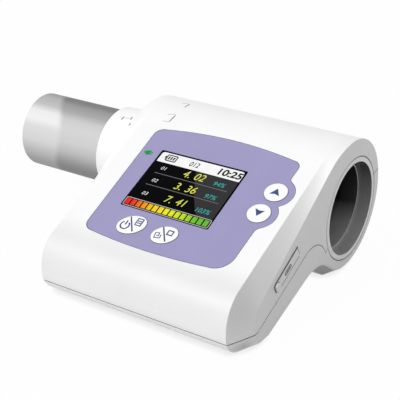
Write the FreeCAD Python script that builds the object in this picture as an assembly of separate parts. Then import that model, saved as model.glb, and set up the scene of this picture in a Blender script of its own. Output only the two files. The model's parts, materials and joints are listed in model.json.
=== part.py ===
# Handheld electronic spirometer with a removable turbine and a mouthpiece.
# Modelled in millimetres with +X along the airway towards the open outlet, +Y from the
# nose of the case to its tube, +Z up. The case rests on its nose and on the foot of its tube.
# While it is modelled, x = 0 is the middle of the case, y = 0 its nose and z = 0 the table.

import FreeCAD, Part
import math
import os

V = FreeCAD.Vector

# Case
CASE_WIDTH = 81.5
CASE_DEPTH = 98.25
TUBE_R = 24.35
WALL = 2.0
END_WALL = 2.0
BEVEL_LENGTH = 4.2
PANEL_LIFT = 0.287
SCREEN_Y = 36.6
SCREEN_X = -3.25

# Full section of the case, and the smaller section of its end faces
NOSE_R = 12.2
NOSE_Z = 10.883
NOSE_LOW_R = 9.5
BELLY_TILT = 18.9
BELLY_Y = 17.5
ARCH_R = 10.0
FOOT_TILT = 36.0
FOOT_REACH = 9.0
FOOT_R = 4.0
END_NOSE_Z = 10.73
END_LIFT = 1.385
END_TUBE_R = 23.6
END_TUBE_INSET = 0.2
END_FRONT = 10.4
END_NOSE_R = 5.5
END_NOSE_LOW_R = 3.5
END_BASE = 1.5
END_BELLY_Y = 19.0
END_ARCH_R = 18.0
END_FOOT_TILT = 37.0
END_HEEL_ANGLE = 12.0
END_TOE_R = 12.0

# Seam between the two halves
NOSE_SEAM_Z = 6.0
SEAM_DEPTH = 16.5
SEAM_KNEE_REACH = 34.0
SEAM_CREST_REACH = 25.1
SEAM_CREST_DROP = 3.33
SEAM_HOOK_ANGLE = 205.7
SEAM_HOOK_GAP = 2.3
SEAM_REAR_ANGLE = 20.5
SEAM_GAP = 0.25
LIP_HEIGHT = 1.2
LIP_CLEARANCE = 0.1
LIP_THICKNESS = 1.0
LIP_LINER_GAP = 1.0
RIB_MARGIN = 0.5

# Airway liner
SLEEVE_BACK = 2.1
SLEEVE_DROP = 1.45
SLEEVE_R = 18.65
SLEEVE_BORE_R = 16.3
SLEEVE_MOUTH_R = 16.9
SLEEVE_GROOVE = 0.3
SLEEVE_GROOVE_DEPTH = 2.0
RIB_THICKNESS = 2.0
RIB_X = 20.0
RIB_FRONT = 1.5

# Turbine
TURBINE_CLEARANCE = 0.1
TURBINE_RECESS = 5.0
FLOW_R = 14.2
OUTLET_CONE = 6.0
OUTLET_RIM = 0.6
COLLAR_R = 16.9
COLLAR_LENGTH = 19.4
COLLAR_GAP = 0.1
COLLAR_EDGE = 0.7
SEAL_WIDTH = 1.6
SEAL_DEPTH = 0.9
SEAL_FROM_FACE = 3.0
SEAL_GAP = 0.05
STATOR_LENGTH = 12.0
STATOR_FROM_ROTOR = 10.0
STATOR_TIP_GAP = 0.03
BLADE_COUNT = 6
BLADE_PITCH = 38.0
BLADE_THICKNESS = 0.8
BLADE_ROOT = 0.5
HUB_R = 3.0
HUB_NOSE = 3.0
HUB_TIP_R = 1.0
AXLE_R = 0.4
AXLE_CLEARANCE = 0.05
BEARING_R = 1.2
BEARING_LENGTH = 1.4
BEARING_DEPTH = 1.0
ROTOR_LENGTH = 14.0
ROTOR_THICKNESS = 0.3
ROTOR_TIP_GAP = 1.2
ROTOR_HUB_R = 0.9
ROTOR_HUB_ENDS = 1.0
ROTOR_ANGLE = 25.0

# Mouthpiece
MOUTHPIECE_R = 15.0
MOUTHPIECE_WALL = 1.2
MOUTHPIECE_LENGTH = 58.1
MOUTHPIECE_CLEARANCE = 0.08
MOUTHPIECE_SPIGOT_R = 14.6
MOUTHPIECE_SPIGOT_SHOWS = 0.5
MOUTHPIECE_STOP_GAP = 0.5

# Panel film and its outline, in x and v from the middle of the screen
FILM_THICKNESS = 0.5
FILM_GAP = 0.15
FILM_LEFT_TOP = -25.3
FILM_LEFT_LOW = -24.2
FILM_RIGHT_TOP = 33.3
FILM_RIGHT_LOW = 32.0
FILM_TOP = 23.3
FILM_TOP_BOW = 2.4
FILM_BOTTOM = -27.3
FILM_BOTTOM_BOW = 1.3
FILM_TOP_LEFT_R = 3.5
FILM_TOP_RIGHT_R = 3.2
FILM_LOW_RIGHT_R = 6.5
FILM_LOW_LEFT_R = 4.0
FILM_LOBE_R = 6.4
FILM_TOP_NOTCH_R = 2.0
FILM_MID_NOTCH_R = 0.6
FILM_LOW_NOTCH_R = 3.0

# Screen
WINDOW_WIDTH = 35.04
WINDOW_HEIGHT = 27.5
WINDOW_THICKNESS = 1.2
WINDOW_LEDGE = 2.0
WINDOW_CORNER_R = 0.6
WINDOW_GAP = 0.12
LCD_GLASS = 1.4
LCD_FRAME_MARGIN = 2.4
LCD_FRAME_DEPTH = 3.8
LCD_GAP = 0.1
LCD_LEG = 3.0
LCD_LEG_INSET = 1.0
LCD_CORNER_R = 0.3
LCD_FRAME_CORNER_R = 1.0

# Keys, in x and v from the middle of the screen
ROUND_KEY_R = 4.0
UP_KEY = (31.2, 8.2)
DOWN_KEY = (30.2, -1.9)
POWER_KEY_SIZE = (10.6, 7.8)
CONFIRM_KEY_SIZE = (9.4, 7.2)
OVAL_KEY_TURN = 27.0
POWER_KEY = (-8.2, -20.6)
CONFIRM_KEY = (5.1, -20.7)
KEY_GAP = 0.12
KEY_PROUD = 0.15
KEY_FLANGE = 0.9
KEY_FLANGE_THICKNESS = 0.8
KEY_TRAVEL = 0.4
KEY_STEM = 2.6
SWITCH_SIDE = 6.0
SWITCH_BODY = 2.6
SWITCH_PLUNGER_R = 1.6
SWITCH_PLUNGER = 0.8
SWITCH_GAP = 0.05

# Charge lamp
LAMP = (-21.9, 11.0)
LAMP_R = 1.1
LAMP_GAP = 0.1
LED_SIZE = 1.6
LED_HEIGHT = 0.9

# Main board
BOARD_TOP = 7.8
BOARD_THICKNESS = 1.6
BOARD_LEFT_MARGIN = 4.7
BOARD_RIGHT_MARGIN = 4.8
BOARD_LOW = -26.0
BOARD_HIGH = 15.0
BOARD_CORNER_R = 2.0

# Screw bosses, in from the ends of the case and in v from the middle of the screen
FRONT_BOSS_INSET = 10.75
FRONT_BOSS_V = -30.0
REAR_BOSS_INSET = 5.15
REAR_BOSS_V = 1.0
BOSS_R = 2.9
LOWER_BOSS_R = 3.9
BOSS_GAP = 0.4
SCREW_R = 1.2
SCREW_HEAD_R = 2.1
SCREW_HEAD = 1.6
SCREW_SEAT = 2.0
SCREW_LENGTH = 14.0
SCREW_GAP = 0.15
BOARD_SCREW_LEFT_INSET = 7.0
BOARD_SCREW_LEFT_V = 10.5
BOARD_SCREW_RIGHT = (21.6, 12.0)
BOARD_SCREW_R = 0.9
BOARD_SCREW_HEAD_R = 1.7
BOARD_SCREW_HEAD = 1.1
BOARD_SCREW_LENGTH = 5.0
BOARD_SCREW_GAP = 0.1
BOARD_BOSS_R = 2.2

# Socket and flap on the right end face
USB_WIDTH = 7.6
USB_HEIGHT = 2.9
USB_DEPTH = 7.4
USB_WALL = 0.35
USB_V = -12.0
USB_MOUTH_GAP = 0.25
USB_CORNER = 0.4
USB_BACK = 1.0
TONGUE_WIDTH = 4.8
TONGUE_THICKNESS = 0.6
TONGUE_SHORT = 1.0
FLAP_SHIFT = -0.35
FLAP_TURN = 3.53
FLAP_LENGTH = 16.4
FLAP_WIDTH = 3.8
FLAP_THICKNESS = 1.3
FLAP_PROUD = 0.35
FLAP_CORNER_R = 1.4
FLAP_GAP = 0.2
FLAP_LIP = 2.2
FLAP_LIP_PROUD = 0.7
FLAP_LIP_R = 0.9
FLAP_PIN_R = 0.35
FLAP_PIN_GAP = 0.05
FLAP_PIN_REACH = 1.2

# Battery, buzzer and parts on the board
BATTERY_LENGTH = 46.0
BATTERY_WIDTH = 30.0
BATTERY_HEIGHT = 7.0
BATTERY_TOP = 13.6
BATTERY_V = -7.0
BATTERY_R = 1.5
CRADLE_RIB = 1.6
CRADLE_HEIGHT = 3.0
CRADLE_GAP = 0.2
CRADLE_SPREAD = 13.8
CRADLE_FRONT = 3.0
PLUG_SIZE = (8.0, 5.0)
PLUG_INSET = 1.0
BUZZER_R = 5.0
BUZZER_HEIGHT = 2.8
BUZZER_HOLE_R = 1.0
BUZZER_FROM_EDGE = 13.25
BUZZER_V = 0.5
RADIO_SIZE = (10.0, 14.0)
RADIO_THICKNESS = 0.8
RADIO_CAN_SIZE = (8.0, 9.0)
RADIO_CAN_HEIGHT = 1.4
RADIO_FROM_EDGE = 14.25
RADIO_V = -13.0
THERMO_SIZE = 3.0
THERMO_HEIGHT = 1.1
THERMO_FROM_EDGE = 11.0
THERMO_FROM_TOP = 3.5

# Chips as x from the left edge of the board, v, width, height and thickness
CHIPS = (
    (26.8, -14.0, 10.0, 10.0, 1.4),
    (40.8, -13.0, 7.0, 7.0, 1.2),
    (42.8, 4.0, 6.0, 5.0, 1.6),
    (21.2, 3.0, 5.0, 4.0, 1.2),
)

# Optical sensor
SENSOR_BOARD_WIDTH = 20.0
SENSOR_BOARD_HEIGHT = 14.0
SENSOR_BOARD_THICKNESS = 1.0
SENSOR_PAD = 0.6
DETECTOR_STRIP_THICKNESS = 0.4
SENSOR_CHIP = 2.4
SENSOR_CHIP_DEPTH = 1.7
SENSOR_SPACING = 6.0
SENSOR_CHIP_GAP = 0.1
DETECTOR_STRIP_SIZE = (10.0, 7.0)
RIBBON_WIDTH = 8.0
RIBBON_THICKNESS = 0.3
RIBBON_ON_BOARD = 1.0
RIBBON_ON_SENSOR = 2.0

# How far ribs and bosses reach into what they grow from, and cutters past what they cut
ROOT = 0.5
PAST = 1.0


def panel_tilt(centre, rise, nose_y, nose_z):
    """Tilt in degrees of the slope that touches the nose and passes the tube's centre."""
    run = centre[0] - nose_y
    drop = centre[1] - nose_z
    return math.degrees(math.atan2(drop, run) + math.asin(rise / math.hypot(run, drop)))


# Worked out from the sizes above
HALF_WIDTH = CASE_WIDTH / 2
BEVEL_START = HALF_WIDTH - BEVEL_LENGTH
TUBE_Y = CASE_DEPTH - TUBE_R
PANEL_RISE = TUBE_R + PANEL_LIFT
PANEL_TILT = panel_tilt((TUBE_Y, TUBE_R), PANEL_RISE - NOSE_R, NOSE_R, NOSE_Z)
PANEL_SLOPE = math.radians(PANEL_TILT)
SCREEN_Z = TUBE_R + ((PANEL_RISE - (TUBE_Y - SCREEN_Y) * math.sin(PANEL_SLOPE))
                     / math.cos(PANEL_SLOPE))
SLEEVE_Y = TUBE_Y + SLEEVE_BACK
SLEEVE_Z = TUBE_R - SLEEVE_DROP
LEFT_END = -HALF_WIDTH - COLLAR_GAP - COLLAR_LENGTH
MOUTHPIECE_STOP = -HALF_WIDTH - MOUTHPIECE_STOP_GAP
MOUTHPIECE_END = MOUTHPIECE_STOP - MOUTHPIECE_LENGTH
BOARD_BOTTOM = BOARD_TOP + BOARD_THICKNESS
BOARD_LEFT = BOARD_LEFT_MARGIN - HALF_WIDTH - SCREEN_X
BOARD_RIGHT = HALF_WIDTH - BOARD_RIGHT_MARGIN - SCREEN_X
BOARD_SCREWS = ((BOARD_SCREW_LEFT_INSET - HALF_WIDTH - SCREEN_X, BOARD_SCREW_LEFT_V),
                BOARD_SCREW_RIGHT)
FAR = 200.0


# Sections of the case

class Section:
    """Sizes of one closed outline of the case in the YZ plane."""

    def __init__(self, tube_r, tube_inset, lift, front, nose_r, nose_z, nose_low_r, base,
                 belly_y, arch_r, foot_tilt, foot_y):
        self.centre = (CASE_DEPTH - tube_inset - tube_r, 2 * TUBE_R - tube_inset - tube_r)
        self.rise = tube_r + lift
        self.tilt = math.radians(panel_tilt(self.centre, self.rise - nose_r, front + nose_r,
                                            nose_z))
        self.nose_z = nose_z
        self.front = front
        self.nose_r = nose_r
        self.nose_low_r = nose_low_r
        self.base = base
        self.belly_y = belly_y
        self.arch_r = arch_r
        self.foot_tilt = math.radians(foot_tilt)
        self.tube_r = tube_r
        self.foot_y = foot_y


FULL_SECTION = Section(TUBE_R, 0.0, PANEL_LIFT, 0.0, NOSE_R, NOSE_Z, NOSE_LOW_R, 0.0,
                       BELLY_Y, ARCH_R, FOOT_TILT, TUBE_Y - FOOT_REACH)
END_SECTION = Section(END_TUBE_R, END_TUBE_INSET, END_LIFT, END_FRONT, END_NOSE_R,
                      END_NOSE_Z, END_NOSE_LOW_R, END_BASE, END_BELLY_Y, END_ARCH_R,
                      END_FOOT_TILT, None)


def meet(point_a, dir_a, point_b, dir_b):
    """Crossing of two lines in the YZ plane, each given as (y, z) pairs."""
    cross = dir_a[0] * dir_b[1] - dir_a[1] * dir_b[0]
    gap_y = point_b[0] - point_a[0]
    gap_z = point_b[1] - point_a[1]
    run = (gap_y * dir_b[1] - gap_z * dir_b[0]) / cross
    return (point_a[0] + run * dir_a[0], point_a[1] + run * dir_a[1])


def corner_arc(corner, dir_in, dir_out, radius):
    """Start, middle and end of the arc that rounds a corner between two unit directions."""
    turn = math.acos(dir_in[0] * dir_out[0] + dir_in[1] * dir_out[1])
    run = radius * math.tan(turn / 2)
    reach = radius * (1 / math.cos(turn / 2) - 1)
    start = (corner[0] - run * dir_in[0], corner[1] - run * dir_in[1])
    end = (corner[0] + run * dir_out[0], corner[1] + run * dir_out[1])
    inward = (dir_out[0] - dir_in[0], dir_out[1] - dir_in[1])
    size = math.hypot(inward[0], inward[1])
    middle = (corner[0] + reach * inward[0] / size, corner[1] + reach * inward[1] / size)
    return start, middle, end


def polar(centre, radius, degrees):
    angle = math.radians(degrees)
    return (centre[0] + radius * math.cos(angle), centre[1] + radius * math.sin(angle))


def section_wire(x, s, inset):
    """Closed outline of section s at x, moved inwards by inset all round."""
    slope = (math.cos(s.tilt), math.sin(s.tilt))
    out = (-slope[1], slope[0])
    tube_r = s.tube_r - inset
    rise = s.rise - inset
    front = s.front + inset
    nose_r = s.nose_r - inset
    low_r = s.nose_low_r - inset
    base = s.base + inset
    tube = s.centre

    # The slope runs into the top of the tube through a larger arc
    blend_r = (rise - tube_r * slope[0]) / (1 - slope[0])
    blend = (tube[0], tube[1] + tube_r - blend_r)
    slope_end = (blend[0] + blend_r * out[0], blend[1] + blend_r * out[1])
    blend_mid = polar(blend, blend_r, 90 + math.degrees(s.tilt) / 2)
    top = polar(tube, tube_r, 90)
    rear = polar(tube, tube_r, 0)
    bottom = polar(tube, tube_r, -90)

    nose = (front + nose_r, s.nose_z)
    nose_top = (nose[0] + nose_r * out[0], nose[1] + nose_r * out[1])
    nose_mid = polar(nose, nose_r, 135 + math.degrees(s.tilt) / 2)
    nose_front = (front, s.nose_z)
    low = (front + low_r, base + low_r)
    low_top = (front, low[1])
    low_mid = polar(low, low_r, 225)
    low_end = (low[0], base)

    belly_dir = (math.cos(math.radians(BELLY_TILT)), math.sin(math.radians(BELLY_TILT)))
    belly_point = (s.belly_y - inset * belly_dir[1], s.base + inset * belly_dir[0])
    foot_dir = (math.cos(s.foot_tilt), -math.sin(s.foot_tilt))
    foot_in = (math.sin(s.foot_tilt), math.cos(s.foot_tilt))
    heel_angle = math.radians(END_HEEL_ANGLE)
    if s.foot_y is None:
        # The foot of an end face runs smoothly into the round of its tube
        heel = polar(tube, tube_r, -90 - END_HEEL_ANGLE)
        heel_mid = polar(tube, tube_r, -90 - END_HEEL_ANGLE / 2)
        heel_dir = (math.cos(heel_angle), -math.sin(heel_angle))
        toe_r = END_TOE_R - inset
        run = toe_r * math.tan((s.foot_tilt - heel_angle) / 2)
        foot_point = (heel[0] - run * heel_dir[0], heel[1] - run * heel_dir[1])
        toe, toe_mid, heel = corner_arc(foot_point, foot_dir, heel_dir, toe_r)
    else:
        foot_point = (s.foot_y + inset * foot_in[0], s.base + inset * foot_in[1])
        corner = meet(foot_point, foot_dir, (0, base), (1, 0))
        toe, toe_mid, heel = corner_arc(corner, foot_dir, (1, 0), FOOT_R - inset)
        heel_mid = None
    belly_start = meet(belly_point, belly_dir, (0, base), (1, 0))
    arch = meet(belly_point, belly_dir, foot_point, foot_dir)
    arch_start, arch_mid, arch_end = corner_arc(arch, belly_dir, foot_dir, s.arch_r + inset)

    def at(p):
        return V(x, p[0], p[1])

    def line(a, b):
        return Part.LineSegment(at(a), at(b)).toShape()

    def arc(a, m, b):
        return Part.Arc(at(a), at(m), at(b)).toShape()

    heel_edge = line(bottom, heel) if heel_mid is None else arc(bottom, heel_mid, heel)
    return Part.Wire([
        line(low_top, nose_front),
        arc(nose_front, nose_mid, nose_top),
        line(nose_top, slope_end),
        arc(slope_end, blend_mid, top),
        arc(top, rear, bottom),
        heel_edge,
        arc(heel, toe_mid, toe),
        line(toe, arch_end),
        arc(arch_end, arch_mid, arch_start),
        line(arch_start, belly_start),
        line(belly_start, low_end),
        arc(low_end, low_mid, low_top),
    ])


def case_prism(inset, half_length):
    """Straight middle of the case, inset square to its walls."""
    wire = section_wire(-half_length, FULL_SECTION, inset)
    return Part.Face(wire).extrude(V(2 * half_length, 0, 0))


def case_block():
    """Whole outside of the case: the straight middle and its two bevelled ends."""
    pieces = [case_prism(0.0, BEVEL_START)]
    for side in (-1, 1):
        inner = section_wire(side * BEVEL_START, FULL_SECTION, 0.0)
        end = section_wire(side * HALF_WIDTH, END_SECTION, 0.0)
        pieces.append(Part.makeLoft([inner, end], True, True))
    return fuse_all(pieces)


# Places on the sloping panel and on the end face

def on_panel(shape, x=0.0, v=0.0, depth=0.0, turn=0.0):
    """Move a shape modelled about the origin onto the panel, depth below its surface."""
    tilt = FreeCAD.Placement(V(SCREEN_X, SCREEN_Y, SCREEN_Z),
                             FreeCAD.Rotation(V(1, 0, 0), PANEL_TILT))
    local = FreeCAD.Placement(V(x, v, -depth), FreeCAD.Rotation(V(0, 0, 1), turn))
    moved = shape.copy()
    moved.Placement = tilt.multiply(local).multiply(shape.Placement)
    return moved


def panel_box(x0, x1, v0, v1, top, bottom):
    """Box between two depths below the panel."""
    return on_panel(Part.makeBox(x1 - x0, v1 - v0, bottom - top, V(x0, v0, -bottom)))


def panel_rod(x, v, radius, top, bottom):
    """Round rod square to the panel, between two depths below it."""
    return on_panel(Part.makeCylinder(radius, bottom - top, V(x, v, -bottom)))


def airway_rod(radius, x0, x1):
    """Cylinder on the airway's axis."""
    return Part.makeCylinder(radius, x1 - x0, V(x0, SLEEVE_Y, SLEEVE_Z), V(1, 0, 0))


def airway_ring(outer, inner, x0, x1):
    return airway_rod(outer, x0, x1).cut(airway_rod(inner, x0, x1))


def fuse_all(shapes):
    result = shapes[0]
    if len(shapes) > 1:
        result = result.multiFuse(shapes[1:])
    return result.removeSplitter()


def rounded_outline(points, radii):
    """Closed wire at z = 0 through the points, with each corner rounded by its radius."""
    edges = []
    last_end = None
    first_start = None
    count = len(points)
    for i in range(count):
        before = points[i - 1]
        here = points[i]
        after = points[(i + 1) % count]
        length_in = math.dist(before, here)
        length_out = math.dist(here, after)
        dir_in = ((here[0] - before[0]) / length_in, (here[1] - before[1]) / length_in)
        dir_out = ((after[0] - here[0]) / length_out, (after[1] - here[1]) / length_out)
        start, middle, end = corner_arc(here, dir_in, dir_out, radii[i])
        if last_end is None:
            first_start = start
        else:
            edges.append(Part.LineSegment(V(*last_end), V(*start)).toShape())
        edges.append(Part.Arc(V(*start), V(*middle), V(*end)).toShape())
        last_end = end
    edges.append(Part.LineSegment(V(*last_end), V(*first_start)).toShape())
    return Part.Wire(edges)


def rounded_plate(width, height, radius, thickness):
    """Plate centred on the origin with its top at z = 0."""
    w = width / 2
    h = height / 2
    wire = rounded_outline([(-w, -h), (w, -h), (w, h), (-w, h)], [radius] * 4)
    return Part.Face(wire).extrude(V(0, 0, -thickness))


# Seam between the halves

def above_seam(shift):
    """Everything above the seam, with the seam moved up by shift."""
    seam_drop = SEAM_DEPTH / math.cos(PANEL_SLOPE)

    def seam_z(y):
        return SCREEN_Z - seam_drop + (y - SCREEN_Y) * math.tan(PANEL_SLOPE) + shift

    nose_z = NOSE_SEAM_Z + shift
    start_y = SCREEN_Y + (NOSE_SEAM_Z - SCREEN_Z + seam_drop) / math.tan(PANEL_SLOPE)
    centre = (SLEEVE_Y, SLEEVE_Z + shift)
    knee_y = SLEEVE_Y - SEAM_KNEE_REACH
    hook = polar(centre, SLEEVE_R + SEAM_HOOK_GAP, SEAM_HOOK_ANGLE)
    rear = polar(centre, FAR, SEAM_REAR_ANGLE)
    x0 = -FAR / 2

    def at(y, z):
        return V(x0, y, z)

    def line(a, b):
        return Part.LineSegment(a, b).toShape()

    crest = at(SLEEVE_Y - SEAM_CREST_REACH, SLEEVE_Z - SEAM_CREST_DROP + shift)
    knee = at(knee_y, seam_z(knee_y))
    wire = Part.Wire([
        line(at(-FAR, nose_z), at(start_y, nose_z)),
        line(at(start_y, nose_z), knee),
        Part.Arc(knee, crest, at(*hook)).toShape(),
        line(at(*hook), at(*centre)),
        line(at(*centre), at(*rear)),
        line(at(*rear), at(rear[0], FAR)),
        line(at(rear[0], FAR), at(-FAR, FAR)),
        line(at(-FAR, FAR), at(-FAR, nose_z)),
    ])
    return Part.Face(wire).extrude(V(FAR, 0, 0))


# Film and keys

def film_outline(grow):
    """Face of the panel film, grown by a gap all round, with lobes round the round keys."""
    corners = [
        (FILM_LEFT_LOW - grow, FILM_BOTTOM - grow),
        (FILM_RIGHT_LOW + grow, FILM_BOTTOM - grow),
        (FILM_RIGHT_TOP + grow, FILM_TOP + grow),
        (FILM_LEFT_TOP - grow, FILM_TOP + grow),
    ]
    radii = [FILM_LOW_LEFT_R, FILM_LOW_RIGHT_R, FILM_TOP_RIGHT_R, FILM_TOP_LEFT_R]
    body = Part.Face(rounded_outline(corners, radii))

    def bow(v, rise, left, right):
        middle = (left + right) / 2
        arc = Part.Arc(V(left, v, 0), V(middle, v + rise, 0), V(right, v, 0)).toShape()
        chord = Part.LineSegment(V(right, v, 0), V(left, v, 0)).toShape()
        return Part.Face(Part.Wire([arc, chord]))

    pieces = [
        bow(FILM_TOP + grow, FILM_TOP_BOW, FILM_LEFT_TOP + FILM_TOP_LEFT_R,
            FILM_RIGHT_TOP - FILM_TOP_RIGHT_R),
        bow(FILM_BOTTOM - grow, -FILM_BOTTOM_BOW, FILM_LEFT_LOW + FILM_LOW_LEFT_R,
            FILM_RIGHT_LOW - FILM_LOW_RIGHT_R),
    ]
    for key in (UP_KEY, DOWN_KEY):
        circle = Part.Circle(V(key[0], key[1], 0), V(0, 0, 1), FILM_LOBE_R + grow)
        pieces.append(Part.Face(Part.Wire([circle.toShape()])))
    return body, pieces


def film_block(grow, top, bottom):
    """Solid of the film's outline between two depths below the panel."""
    body, pieces = film_outline(grow)
    height = bottom - top
    solids = [face.extrude(V(0, 0, height)) for face in [body] + pieces]
    block = fuse_all(solids)
    for v, radius in film_notches():
        block = round_notch(block, v, radius - grow)
    return on_panel(block, depth=bottom)


def film_notches():
    """Rough v of each notch beside the lobes, with its radius."""
    return ((UP_KEY[1] + FILM_LOBE_R, FILM_TOP_NOTCH_R),
            ((UP_KEY[1] + DOWN_KEY[1]) / 2, FILM_MID_NOTCH_R),
            (DOWN_KEY[1] - FILM_LOBE_R, FILM_LOW_NOTCH_R))


def round_notch(block, v, radius):
    """Round the sharp upright edge nearest to v on the right side of the film."""
    uprights = [e for e in block.Edges if e.BoundBox.ZLength > FILM_THICKNESS / 2
                and e.BoundBox.XLength < 1e-6 and e.BoundBox.XMin > DOWN_KEY[0] - FILM_LOBE_R / 2]
    nearest = min(uprights, key=lambda e: abs(e.BoundBox.YMin - v))
    return block.makeFillet(radius, [nearest])


def oval(length, width, height):
    """Oval rod standing on z = 0, drawn with four arcs, or a round one."""
    a = length / 2
    b = width / 2
    if length == width:
        return Part.makeCylinder(a, height)
    reach = math.hypot(a, b)
    end_r = reach * (reach - (a - b)) / (2 * a)
    side_r = reach * (reach + (a - b)) / (2 * b)
    x = (a - end_r) * side_r / (side_r - end_r)
    y = b - side_r + (side_r - b) * side_r / (side_r - end_r)
    corners = [V(x, -y, 0), V(x, y, 0), V(-x, y, 0), V(-x, -y, 0)]
    middles = [V(a, 0, 0), V(0, b, 0), V(-a, 0, 0), V(0, -b, 0)]
    arcs = [Part.Arc(corners[i], middles[i], corners[(i + 1) % 4]).toShape() for i in range(4)]
    return Part.Face(Part.Wire(arcs)).extrude(V(0, 0, height))


def centred_box(length, width, z0, z1):
    return Part.makeBox(length, width, z1 - z0, V(-length / 2, -width / 2, z0))


def key_cap(length, width):
    """Key about its own centre, panel surface at z = 0: cap, flange under the case, stem."""
    flange_top = WALL + FILM_GAP
    cap = oval(length, width, KEY_PROUD + flange_top)
    cap.translate(V(0, 0, -flange_top))
    flange_bottom = flange_top + KEY_FLANGE_THICKNESS
    flange = oval(length + 2 * KEY_FLANGE, width + 2 * KEY_FLANGE, KEY_FLANGE_THICKNESS)
    flange.translate(V(0, 0, -flange_bottom))
    stem_bottom = BOARD_TOP - SWITCH_BODY - SWITCH_PLUNGER - KEY_TRAVEL - SWITCH_GAP
    stem = centred_box(KEY_STEM, KEY_STEM, -stem_bottom, -flange_bottom)
    return fuse_all([cap, flange, stem])


# Each key's place, length, width and turn on the panel
ROUND_KEY_SIZE = (2 * ROUND_KEY_R, 2 * ROUND_KEY_R)
KEYS = {
    "key_up": (UP_KEY, ROUND_KEY_SIZE, 0.0),
    "key_down": (DOWN_KEY, ROUND_KEY_SIZE, 0.0),
    "key_power_menu": (POWER_KEY, POWER_KEY_SIZE, OVAL_KEY_TURN),
    "key_confirm_back": (CONFIRM_KEY, CONFIRM_KEY_SIZE, OVAL_KEY_TURN),
}


def key_hole(name, bottom):
    """Cutter for one key, from above the panel to a depth below it."""
    (x, v), (length, width), turn = KEYS[name]
    cutter = oval(length + 2 * KEY_GAP, width + 2 * KEY_GAP, bottom + PAST)
    return on_panel(cutter, x, v, bottom, turn)


def make_keys():
    for name, ((x, v), (length, width), turn) in KEYS.items():
        yield name, on_panel(key_cap(length, width), x, v, 0.0, turn)


def make_switches():
    switches = []
    for (x, v), _, turn in KEYS.values():
        body = centred_box(SWITCH_SIDE, SWITCH_SIDE, 0.0, SWITCH_BODY)
        plunger = Part.makeCylinder(SWITCH_PLUNGER_R, SWITCH_PLUNGER, V(0, 0, SWITCH_BODY))
        switches.append(on_panel(fuse_all([body, plunger]), x, v, BOARD_TOP, turn))
    return Part.makeCompound(switches)


def make_film():
    film = film_block(0.0, 0.0, FILM_THICKNESS)
    for name in KEYS:
        film = film.cut(key_hole(name, FILM_THICKNESS + PAST))
    window = rounded_plate(WINDOW_WIDTH + 2 * WINDOW_GAP, WINDOW_HEIGHT + 2 * WINDOW_GAP,
                           WINDOW_CORNER_R, FILM_THICKNESS + 2 * PAST)
    film = film.cut(on_panel(window, depth=-PAST))
    return film.cut(panel_rod(LAMP[0], LAMP[1], LAMP_R + LAMP_GAP, -PAST,
                              FILM_THICKNESS + PAST))


# Display

def make_window():
    return on_panel(rounded_plate(WINDOW_WIDTH, WINDOW_HEIGHT, WINDOW_CORNER_R,
                                  WINDOW_THICKNESS))


def lcd_size(margin):
    return WINDOW_WIDTH - WINDOW_LEDGE + margin, WINDOW_HEIGHT - WINDOW_LEDGE + margin


def make_lcd_panel():
    width, height = lcd_size(0.0)
    return on_panel(rounded_plate(width, height, LCD_CORNER_R, LCD_GLASS),
                    depth=WALL + LCD_GAP)


def make_lcd_frame():
    width, height = lcd_size(2 * LCD_GAP)
    tray = rounded_plate(width + 2 * LCD_FRAME_MARGIN, height + 2 * LCD_FRAME_MARGIN,
                         LCD_FRAME_CORNER_R, LCD_FRAME_DEPTH)
    pocket = rounded_plate(width, height, LCD_CORNER_R, LCD_GLASS + LCD_GAP)
    tray = on_panel(tray.cut(pocket), depth=WALL + LCD_GAP)
    bottom = WALL + LCD_GAP + LCD_FRAME_DEPTH
    pieces = [tray]
    leg_x = width / 2 - LCD_LEG_INSET
    leg_v = height / 2 - LCD_LEG_INSET
    for sx in (-1, 1):
        for sv in (-1, 1):
            x0 = sx * leg_x - LCD_LEG / 2
            v0 = sv * leg_v - LCD_LEG / 2
            pieces.append(panel_box(x0, x0 + LCD_LEG, v0, v0 + LCD_LEG, bottom - ROOT,
                                    BOARD_TOP))
    return fuse_all(pieces)


# Lamp

def make_lamp():
    return panel_rod(LAMP[0], LAMP[1], LAMP_R, 0.0, BOARD_TOP - LED_HEIGHT - LAMP_GAP)


def make_lamp_led():
    half = LED_SIZE / 2
    return panel_box(LAMP[0] - half, LAMP[0] + half, LAMP[1] - half, LAMP[1] + half,
                     BOARD_TOP - LED_HEIGHT, BOARD_TOP)


# Screw places, as x and v from the middle of the screen

def boss_places():
    places = []
    for inset, v in ((FRONT_BOSS_INSET, FRONT_BOSS_V), (REAR_BOSS_INSET, REAR_BOSS_V)):
        for side in (-1, 1):
            places.append((side * (HALF_WIDTH - inset) - SCREEN_X, v))
    return places


# Flap on the end face

def on_end_face(shape, depth=0.0):
    """Move a shape with its length on X, its width on Y and its outside on Z to the end face."""
    tilt = math.radians(PANEL_TILT + FLAP_TURN)
    along = V(0, math.cos(tilt), math.sin(tilt))
    across = V(0, -math.sin(tilt), math.cos(tilt))
    outward = V(1, 0, 0)
    centre = on_panel(Part.Vertex(0, USB_V, 0), depth=usb_depth()).Point + along * FLAP_SHIFT
    turned = shape.copy()
    matrix = FreeCAD.Matrix(
        along.x, across.x, outward.x, HALF_WIDTH - depth,
        along.y, across.y, outward.y, centre.y,
        along.z, across.z, outward.z, centre.z,
        0, 0, 0, 1)
    turned.transformShape(matrix)
    return turned


def flap_pin_place():
    """Pin centre along the flap and above the end face."""
    return FLAP_LENGTH / 2 - FLAP_THICKNESS / 2, FLAP_PROUD - FLAP_THICKNESS / 2


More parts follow.
